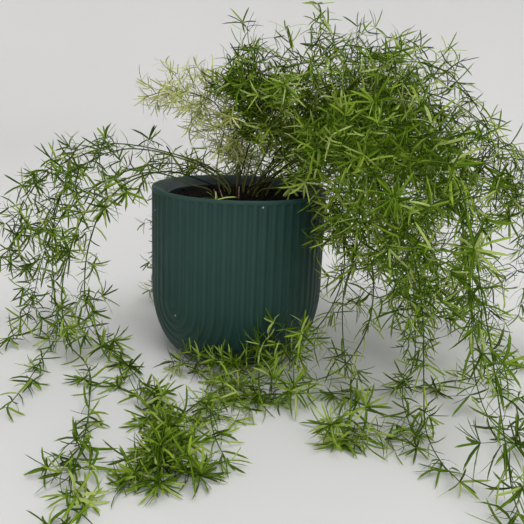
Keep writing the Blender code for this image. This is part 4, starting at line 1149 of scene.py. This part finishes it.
# %% Where the twigs stand
USUAL_PLAN = ((0, 3.8, 1), (1, 8, 1))
PLANS = {
    "stem_left_low": (
        (0, 16, 0.7), (0.05, 26, 0.5), (0.3, 60, 0.3), (0.62, 60, 0.3), (0.71, 15, 0.8),
        (0.78, 11, 1), (0.84, 12, 1.1), (0.9, 18, 0.9), (1, 18, 0.9)),
    "stem_left_table": (
        (0, 16, 0.6), (0.06, 26, 0.5), (0.2, 26, 0.5), (0.26, 9, 0.9), (0.38, 10, 0.8),
        (0.46, 22, 0.5), (0.56, 22, 0.6), (0.66, 12, 0.9), (0.74, 6, 1.4), (0.84, 4.5, 1.5),
        (0.9, 3.4, 2.1), (0.96, 3.4, 2.1), (1, 5, 1.6)),
    "stem_left_mid": (
        (0, 18, 0.9), (0.15, 14, 1), (0.22, 24, 0.6), (0.38, 20, 0.6), (0.46, 9, 1), (0.8, 10, 0.9),
        (0.87, 30, 0.5), (1, 60, 0.3)),
    "stem_left_high": ((0, 20, 0.8), (0.3, 12, 0.9), (0.48, 6, 1), (0.8, 6, 1), (1, 9, 1)),
    "stem_left_far": (
        (0, 16, 0.9), (0.1, 9, 1), (0.3, 10, 1), (0.42, 30, 0.5), (0.56, 12, 0.7), (0.64, 40, 0.4),
        (0.84, 50, 0.4), (1, 90, 0.3)),
    "stem_pale_left": ((0, 3, 0.9), (0.2, 2.2, 1), (0.5, 2.6, 1), (1, 4, 0.6)),
    "stem_pale_centre": ((0, 1.8, 1.3), (0.15, 2.2, 1.2), (1, 3.2, 1)),
    "stem_plume": ((0, 1.7, 1), (0.66, 1.7, 1), (0.8, 3, 0.7), (1, 5, 0.6)),
    "stem_spike": ((0, 16, 1), (1, 16, 1)),
    "stem_top_near": (
        (0, 3.2, 1), (0.15, 2.0, 1.4), (0.3, 1.6, 1.5), (0.4, 2.4, 1.3), (0.6, 4.5, 1), (1, 6, 1)),
    "stem_top_far": (
        (0, 3.8, 1), (0.35, 4.5, 0.9), (0.5, 6, 0.8), (0.62, 9, 0.6), (0.7, 34, 0.4),
        (0.84, 34, 0.4), (0.9, 20, 0.6), (1, 26, 0.6)),
    "stem_right_back": (
        (0, 3.6, 1), (0.4, 6, 0.9), (0.55, 10, 0.9), (0.75, 12, 0.9), (0.88, 26, 0.7),
        (1, 26, 0.7)),
    "stem_right_high": (
        (0, 3.6, 1), (0.35, 6, 0.8), (0.46, 18, 0.6), (0.58, 14, 0.7), (0.66, 7, 0.9),
        (0.8, 8, 0.9), (1, 18, 0.8)),
    "stem_right_mid": (
        (0, 3.6, 1), (0.3, 6, 0.8), (0.42, 10, 0.7), (0.55, 11, 0.8), (0.66, 6, 1), (0.8, 20, 0.8),
        (0.94, 34, 0.7), (1, 34, 0.7)),
    "stem_right_near": (
        (0, 3.4, 1), (0.3, 5, 1), (0.38, 9, 0.9), (0.5, 9, 0.9), (0.58, 5, 1), (0.66, 8, 1),
        (0.74, 34, 0.6), (1, 40, 0.6)),
    "stem_right_inner": (
        (0, 3.6, 0.8), (0.1, 2.6, 1), (0.25, 2.4, 1.2), (0.4, 2.8, 1.1), (0.5, 4.4, 0.9),
        (0.58, 8, 0.8), (0.63, 30, 0.4), (0.8, 44, 0.3), (0.84, 14, 0.9), (0.94, 14, 0.9),
        (0.96, 7, 1.2), (1, 6, 1.3)),
    "stem_drop_mid": (
        (0, 20, 0.4), (0.07, 7, 0.8), (0.12, 3.2, 1), (0.25, 3, 1.1), (0.34, 18, 0.5),
        (0.42, 34, 0.4), (0.84, 44, 0.3), (0.87, 5, 1.2), (0.91, 3, 1.7), (0.96, 3.4, 1.7),
        (1, 6, 1.3)),
    "stem_front_trail": (
        (0, 30, 0.3), (0.1, 18, 0.5), (0.15, 5, 0.9), (0.2, 6, 0.8), (0.24, 12, 0.6),
        (0.32, 26, 0.4), (0.44, 14, 0.6), (0.52, 4, 1.1), (0.8, 3.6, 1.1), (1, 5, 1)),
    "stem_front_low": (
        (0, 20, 0.3), (0.05, 6, 0.8), (0.1, 3.2, 1), (0.22, 4, 1.1), (0.28, 30, 0.4),
        (0.52, 44, 0.3), (0.58, 8, 0.9), (0.68, 5, 1), (0.8, 5, 1), (0.86, 14, 0.6), (1, 24, 0.5)),
    "stem_front_long": (
        (0, 3.4, 1), (0.2, 5, 1), (0.3, 7, 1), (0.38, 20, 0.8), (0.55, 30, 0.6), (0.8, 34, 0.5),
        (0.84, 14, 0.9), (0.87, 12, 0.9), (0.88, 34, 0.4), (0.925, 34, 0.4), (0.94, 6, 1.3),
        (0.97, 3, 1.9), (1, 2.6, 2)),
    "stem_right_front": ((0, 5, 1), (0.3, 9, 1), (0.42, 22, 0.8), (0.7, 32, 0.7), (1, 40, 0.7)),
    "stem_near_arch": (
        (0, 14, 0.4), (0.08, 5, 0.8), (0.14, 3.4, 1), (0.4, 3.2, 1.1), (0.56, 4.6, 1),
        (0.62, 24, 0.5), (0.8, 40, 0.4), (0.9, 50, 0.3), (1, 60, 0.3)),
    "stem_near_right": (
        (0, 6, 1), (0.3, 10, 1), (0.4, 26, 0.7), (0.79, 36, 0.6), (0.83, 12, 1.1), (0.92, 14, 0.9),
        (1, 14, 0.9)),
    "stem_back_mid": ((0, 3.6, 1), (0.08, 2.6, 1.1), (0.4, 2.4, 1.2), (0.5, 4, 1), (1, 8, 1)),
    "stem_back_right": (
        (0, 3.8, 1), (0.34, 3, 1.1), (0.5, 3.2, 1.1), (0.58, 6, 0.9), (0.66, 18, 0.7),
        (1, 20, 0.7)),
    "stem_back_high": ((0, 3.8, 1), (0.4, 4, 1), (0.78, 4, 1), (0.86, 12, 0.7), (1, 18, 0.6)),
}
print("plans:", len(PLANS))

# %% [markdown]
# ## Needles, whorls and stars
#
# The needles stand in whorls of a few, nearly square to their twig and arched, and every twig ends
# in a star of them. By hand, one would place and turn copies of the one needle. Here each copy is
# noted as its foot, its aim, its bend, the direction of its flat side, its length, its width and
# its shade, and all are made at once later. The size, lean, arch and shade of each one come from
# a seeded random draw, since no two needles on the plant are the same.

# %% Needles, whorls and stars
# Sizes, widths and arches are shares of a needle's own length or width. Leans, rolls and turns
# are in radians.
NEEDLE_SIZES = (0.55, 1.25)
NEEDLE_WIDTHS = (0.8, 1.15)
NEEDLE_LEANS = (0.9, 1.9)
NEEDLE_ARCH = (0.4, 1.0)
NEEDLE_SAG = 0.12
NEEDLE_SWERVE = 0.12
NEEDLE_ROLL = 0.8
SHADE_SPREAD = 0.4
ARCHED_BACK = 0.3
WHORL_JITTER = 0.5
STAR_COUNTS = (0.7, 1.2)
STAR_SIZES = (0.8, 1.35)
STAR_ARCH = (-0.6, -0.05)
STAR_FIRST_LEAN = 0.1
STAR_SPREAD = 1.15
STAR_TURN = 2.4
STAR_JITTER = 0.3
STAR_FRESHNESS = 0.04
SMALL_STAR = 0.4
SMALLEST_STAR = 3
ROOM = 0.7 * MM
# A needle whose foot is lower than this bends down and not up.
LOW = 8 * MM
DOWN = Vector((0, 0, -1))


def turned_side(side, along, angle):
    """A vector square to a direction, turned round it."""
    side = (side - side.dot(along) * along).normalized()
    return side * math.cos(angle) + along.cross(side) * math.sin(angle)


class Foliage:
    """The needles of one stem, collected before they are made into a mesh."""

    def __init__(self, seed, habit):
        self.rng = random.Random(seed)
        self.habit = habit
        self.needles = []

    def needle(self, foot, along, outward, lean, arch, size, tone):
        """Add one needle that leans out from its twig, arches and keeps clear."""
        rng = self.rng
        length = self.habit["length"] * MM * size
        aim = outward * math.sin(lean) + along * math.cos(lean)
        across = turned_side(along, aim, 0)
        bend = across * arch + DOWN * rng.uniform(0, NEEDLE_SAG)
        bend += aim.cross(across) * rng.gauss(0, NEEDLE_SWERVE)
        if foot.z < LOW:
            bend.z = -abs(bend.z)
        # The tip is moved clear first. Where the middle would still touch, the needle is straight.
        tip = free_spot(foot + (aim + bend) * length, ROOM)
        middle = foot.lerp(tip, 0.5) - bend * length / 4
        if (free_spot(middle, ROOM / 2) - middle).length > 0:
            bend = bend * 0
        aim = (tip - foot) / length - bend
        roll = math.pi / 2 + rng.uniform(-NEEDLE_ROLL, NEEDLE_ROLL)
        flat = turned_side(across, aim.normalized(), roll)
        width = self.habit["width"] * MM * rng.uniform(*NEEDLE_WIDTHS) * min(1, 0.5 + 0.5 * size)
        shade = min(max(tone + rng.gauss(0, SHADE_SPREAD), 0), 1)
        self.needles.append((*foot, *aim, *bend, *flat, length, width, shade))

    def whorl(self, foot, along, side, tone):
        """Add a few needles round a twig, nearly square to it."""
        rng = self.rng
        count = rng.randint(self.habit["fewest"], self.habit["most"])
        start = rng.uniform(0, 2 * math.pi)
        for number in range(count):
            angle = start + 2 * math.pi * number / count + rng.uniform(-WHORL_JITTER, WHORL_JITTER)
            outward = turned_side(side, along, angle)
            arch = rng.uniform(*NEEDLE_ARCH) * (-1 if rng.random() < ARCHED_BACK else 1)
            size = rng.uniform(*NEEDLE_SIZES)
            self.needle(foot, along, outward, rng.uniform(*NEEDLE_LEANS), arch, size, tone)

    def star(self, foot, along, side, tone):
        """Add the star at the end of a twig: its needles spread from straight on to sideways."""
        rng = self.rng
        fullness = 1 if rng.random() < self.habit["rosettes"] else SMALL_STAR
        count = round(self.habit["star"] * rng.uniform(*STAR_COUNTS) * fullness)
        count = max(SMALLEST_STAR, count)
        for number in range(count):
            angle = number * STAR_TURN + rng.uniform(-STAR_JITTER, STAR_JITTER)
            outward = turned_side(side, along, angle)
            lean = STAR_FIRST_LEAN + STAR_SPREAD * math.sqrt((number + 0.5) / count)
            arch = rng.uniform(*STAR_ARCH)
            size = rng.uniform(*STAR_SIZES)
            self.needle(foot, along, outward, lean, arch, size, tone + STAR_FRESHNESS)


print("needles are", min(row["length"] for row in HABITS.values()), "to",
      max(row["length"] for row in HABITS.values()), "mm long before their random size")

# %% [markdown]
# ## Twigs along a stem
#
# A leafy stem is built the way it grows. Side twigs leave it in turn round it, each about 137.5
# degrees on from the last one, which is the angle that many plants keep so that no twig stands
# right above another. A twig bends a little towards the stem's tip and sags. Where a stem lies on
# the floor, its twigs turn to the light in front.

# %% Twigs along a stem
STEM_RADII = (0.72 * MM, 0.34 * MM)
TWIG_RADII = (0.3 * MM, 0.16 * MM)
TWIG_JOINTS = 7
TWIG_SIZES = (0.5, 1.35)
TWIG_LEANS = (-0.1, 0.7)
TWIG_SWAY = 0.16
TWIG_TO_TIP = 0.02
TWIG_SAG = 0.03
TWIG_TONES = 0.1
FIRST_TWIG = 12 * MM
FIRST_WHORL = 0.2
WHORLED_SHARE = 0.72
WHORLED_LENGTH = 0.85
STEM_WHORL_SPACING = 13 * MM
GAP_SIZES = (0.7, 1.3)
GOLDEN_TURN = math.radians(137.5)
TURN_JITTER = 0.4
# Twigs are longest a little before the middle of a stem: part of a sine curve, flattened.
REACH_START = 0.22
REACH_SPAN = 0.72
REACH_FLATTENING = 0.6
# A twig that starts lower than this turns to the light.
LYING = 20 * MM
TO_LIGHT = Vector((-0.1, -0.5, 0))


class Growth(Foliage):
    """One stem with its twigs and needles, collected before they are made into meshes."""

    def __init__(self, seed, habit):
        super().__init__(seed, habit)
        self.twigs = []

    def twig(self, root, along, outward, length):
        """Add one side twig with its whorls and the star at its end."""
        rng = self.rng
        step = length / TWIG_JOINTS
        way = outward + along * rng.uniform(*TWIG_LEANS)
        if root.z < LYING:
            way += TO_LIGHT
        way = way.normalized()
        points = [root]
        for _ in range(TWIG_JOINTS):
            sway = random_vector(rng) * TWIG_SWAY
            way = (way + along * TWIG_TO_TIP + DOWN * TWIG_SAG + sway).normalized()
            spot = free_spot(points[-1] + way * step, ROOM + MM)
            way = (spot - points[-1]).normalized()
            points.append(spot)
        self.twigs.append(list(zip(points, np.linspace(*TWIG_RADII, TWIG_JOINTS + 1))))
        whorls = max(1, round(length * WHORLED_LENGTH / (self.habit["whorl_gap"] * MM)))
        tone = self.habit["tone"] + rng.gauss(0, TWIG_TONES)
        for number in range(whorls):
            place = (FIRST_WHORL + WHORLED_SHARE * number / whorls) * TWIG_JOINTS
            joint = int(place)
            spot = points[joint].lerp(points[joint + 1], place - joint)
            heading = (points[joint + 1] - points[joint]).normalized()
            self.whorl(spot, heading, outward, tone)
        self.star(points[-1], (points[-1] - points[-2]).normalized(), outward, tone)

    def stem(self, route, bare, longest, plan):
        """Grow everything that stands on a stem's route."""
        rng = self.rng
        last = len(route) - 1
        self.twigs.append(list(zip(route, np.linspace(*STEM_RADII, last + 1))))
        side = (route[1] - route[0]).orthogonal().normalized()
        foot = int(last * bare + FIRST_TWIG / ROUTE_STEP)
        next_twig = foot
        next_whorl = foot
        turn = rng.uniform(0, 2 * math.pi)
        shares, gaps, reaches = zip(*plan)
        # The route's points are even steps, so the next twig and whorl are kept as step counts.
        for index in range(foot, last):
            along = (route[index + 1] - route[index - 1]).normalized()
            side = turned_side(side, along, 0)
            if index >= next_whorl:
                next_whorl += STEM_WHORL_SPACING / ROUTE_STEP
                self.whorl(route[index], along, side, self.habit["tone"])
            share = (index - foot) / (last - foot)
            while index >= next_twig:
                gap = np.interp(share, shares, gaps) * MM
                reach = np.interp(share, shares, reaches) * longest
                reach *= math.sin(math.pi * (REACH_START + REACH_SPAN * share)) ** REACH_FLATTENING
                next_twig += gap / ROUTE_STEP * rng.uniform(*GAP_SIZES)
                turn += GOLDEN_TURN + rng.uniform(-TURN_JITTER, TURN_JITTER)
                outward = turned_side(side, along, turn)
                upward = max(outward.z, 0)
                reach *= rng.uniform(*TWIG_SIZES) * (1 - self.habit["flat_top"] * upward)
                self.twig(route[index], along, outward, reach)
        self.star(route[-1], (route[-1] - route[-2]).normalized(), side, self.habit["tone"])


print("a twig has", TWIG_JOINTS, "joints, and the stems' radius falls from",
      round(STEM_RADII[0] / MM, 2), "to", round(STEM_RADII[1] / MM, 2), "mm")

# %% [markdown]
# ## Meshes of a stem
#
# The stem and its twigs become one curve object with a round bevel, whose points carry the radius,
# and it is converted to a mesh. That is the usual way to make a tapering tube by hand too. The
# needles become one mesh of copies. A point on a needle lies on a parabola, foot + aim * t +
# bend * t * t, and the flat side and the thin side give the rest of its place. Each vertex keeps
# numbers for the finish: how old its needle is, how far along the blade it is, and whether it lies
# on the keel.

# %% Meshes of a stem
NEEDLE_SMOOTH_ANGLE = math.radians(40)
KEEL_LIMIT = 0.01


def twigs_object(name, twigs, bark):
    """The stem and its twigs as one bevelled curve, converted to a mesh, with the bark's age."""
    curve = bpy.data.curves.new(name, "CURVE")
    curve.dimensions = "3D"
    curve.bevel_depth = 1
    curve.bevel_resolution = 1
    curve.use_fill_caps = True
    for twig in twigs:
        spline = curve.splines.new("POLY")
        spline.points.add(len(twig) - 1)
        for point, (spot, radius) in zip(spline.points, twig):
            point.co = (*spot, 1)
            point.radius = radius
    only_select(add_object(name, curve))
    bpy.ops.object.convert(target="MESH")
    bpy.ops.object.shade_smooth()
    piece = bpy.context.object
    keep_numbers(piece.data, "shade", np.full(len(piece.data.vertices), bark))
    return piece


def needles_object(name, needles):
    """All needles of a stem as one mesh, whose vertices know their place on their needle."""
    rows = np.array(needles)[:, None, :]
    foot, aim, bend, flat, length, width, shade = np.split(rows, (3, 6, 9, 12, 13, 14), axis=2)
    thick = np.cross(aim, flat)
    thick /= np.linalg.norm(thick, axis=2, keepdims=True)
    x, y, t = np.split(needle_places[None], 3, axis=2)
    places = foot + length * (aim * t + bend * t * t) + width * (flat * x + thick * y)
    mesh = copies_mesh(name, places, needle_triangles)
    corners = len(needle_places)
    on_keel = (np.abs(needle_places[:, 0]) < KEEL_LIMIT).astype(float)
    keep_numbers(mesh, "blade", np.ones(len(needles) * corners))
    keep_numbers(mesh, "shade", np.repeat(shade.ravel(), corners))
    keep_numbers(mesh, "along", np.tile(needle_places[:, 2], len(needles)))
    keep_numbers(mesh, "keel", np.tile(on_keel, len(needles)))
    piece = add_object(name, mesh)
    only_select(piece)
    bpy.ops.object.shade_smooth_by_angle(angle=NEEDLE_SMOOTH_ANGLE)
    return piece


print("corners of a needle:", len(needle_places))

# %% [markdown]
# ## Leaf finish
#
# A needle is a deep green when it is old and a yellow-green when it is young. So its shade, from 0
# to 1, runs through four greens: deep, middle, fresh and, at the top of the range, a pale green
# that is partly young growth and partly a painted sheen. Its tip is paler, its keel gets a painted
# highlight, and slow patches bring the middle green back. Stems are brown and woody or olive near
# the crown, each in its own degree, and the twigs further out are green. One function makes this
# for the green stems and again, in straw yellows, for the two pale ones.

# %% Leaf finish
# Each kind's brightest colour stands partly for young growth and partly for a painted sheen.
LEAF_COLOURS = {
    "green": {"deep": (0.0035, 0.023, 0.0002), "middle": (0.075, 0.16, 0.004),
              "fresh": (0.32, 0.45, 0.045), "bright_and_sheen": (0.48, 0.58, 0.18),
              "woody": (0.014, 0.009, 0.007), "olive": (0.14, 0.14, 0.03),
              "twig": (0.05, 0.1, 0.006)},
    "pale": {"deep": (0.2, 0.26, 0.05), "middle": (0.42, 0.47, 0.13),
             "fresh": (0.6, 0.62, 0.22), "bright_and_sheen": (0.66, 0.68, 0.28),
             "woody": (0.03, 0.018, 0.012), "olive": (0.16, 0.14, 0.05),
             "twig": (0.14, 0.12, 0.05)},
}
CROWN = (0, 0.01, SOIL_LEVEL)
CROWN_REACH = (30 * MM, 130 * MM)


def leaf_finish(name, deep, middle, fresh, bright_and_sheen, woody, olive, twig):
    """The finish of a leafy stem, from its four greens and three stem colours."""
    leaf = Finish(name, roughness=0.4, specular=0.05)
    shade = leaf.attribute("shade")
    blade = deep
    # The top of the shade range gets a green that is partly young growth and partly a painted
    # sheen.
    for start, end, colour in ((0, 0.5, middle), (0.5, 0.85, fresh), (0.85, 1, bright_and_sheen)):
        blade = leaf.mix(leaf.ranged(shade, start, end), blade, colour)
    # The keel is lightened towards the fresh green as a painted highlight.
    blade = leaf.mix(leaf.ranged(leaf.attribute("keel"), 0.5, 1, 0, 0.4), blade, fresh)
    blade = leaf.mix(leaf.ranged(leaf.attribute("along"), 0.7, 1, 0, 0.5), blade, fresh)
    patches = leaf.ranged(leaf.use(MOTTLE, Scale=45, Contrast=2), 0, 1, 0, 0.35)
    blade = leaf.mix(patches, blade, middle)
    place = add_node(leaf.tree, "ShaderNodeTexCoord")
    apart = add_node(leaf.tree, "ShaderNodeVectorMath", operation="DISTANCE")
    apart.inputs[1].default_value = CROWN
    wire(leaf.tree, (place.outputs["Object"], apart.inputs[0]))
    far = leaf.ranged(apart.outputs["Value"], *CROWN_REACH)
    bark = leaf.mix(far, leaf.mix(shade, woody, olive), twig)
    leaf.colour(leaf.mix(leaf.attribute("blade"), bark, blade))
    leaf.roughness(leaf.ranged(leaf.use(MOTTLE, Scale=200, Contrast=2), 0, 1, 0.32, 0.48))
    return leaf.material


LEAVES = {kind: leaf_finish("leaf_" + kind, **colours) for kind, colours in LEAF_COLOURS.items()}
print("leaf finishes:", list(LEAVES))

# %% [markdown]
# ## Growing every stem
#
# Now each stem is grown from its route, its habit and its plan. Its twigs and its needles are
# joined into one piece, because they are one living thing and take the place of one solid. Each
# stem has a seed of its own, so a change to one of them leaves the others as they were.

# %% Grow every stem
FIRST_SEED = 5000

needle_total = 0
triangle_total = 0
for number, (name, kind, bare, longest, _) in enumerate(STEMS):
    growth = Growth(FIRST_SEED + number, HABITS[STEM_HABITS.get(name, USUAL_HABIT)])
    growth.stem(routes[name], bare, longest * MM, PLANS.get(name, USUAL_PLAN))
    piece_name = name.replace("stem", "leafy")
    twigs = twigs_object(piece_name + "_twigs", growth.twigs, growth.rng.random())
    leafy = needles_object(piece_name, growth.needles)
    only_select(leafy, twigs)
    bpy.ops.object.join()
    leafy.data.materials.append(LEAVES[kind])
    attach(leafy, "root")
    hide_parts(name)
    needle_total += len(growth.needles)
    triangle_total += sum(len(face.vertices) - 2 for face in leafy.data.polygons)
print("needles:", needle_total, "triangles on the leafy stems:", triangle_total)

# %% [markdown]
# ## Last sizes
#
# The finished model has to stay within the solid model's box, so both boxes are printed.

# %% Sizes and finish
final_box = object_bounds()
for label, box in (("solid", solid_box), ("dressed", final_box)):
    print(label, [[round(c / MM, 1) for c in corner] for corner in box])
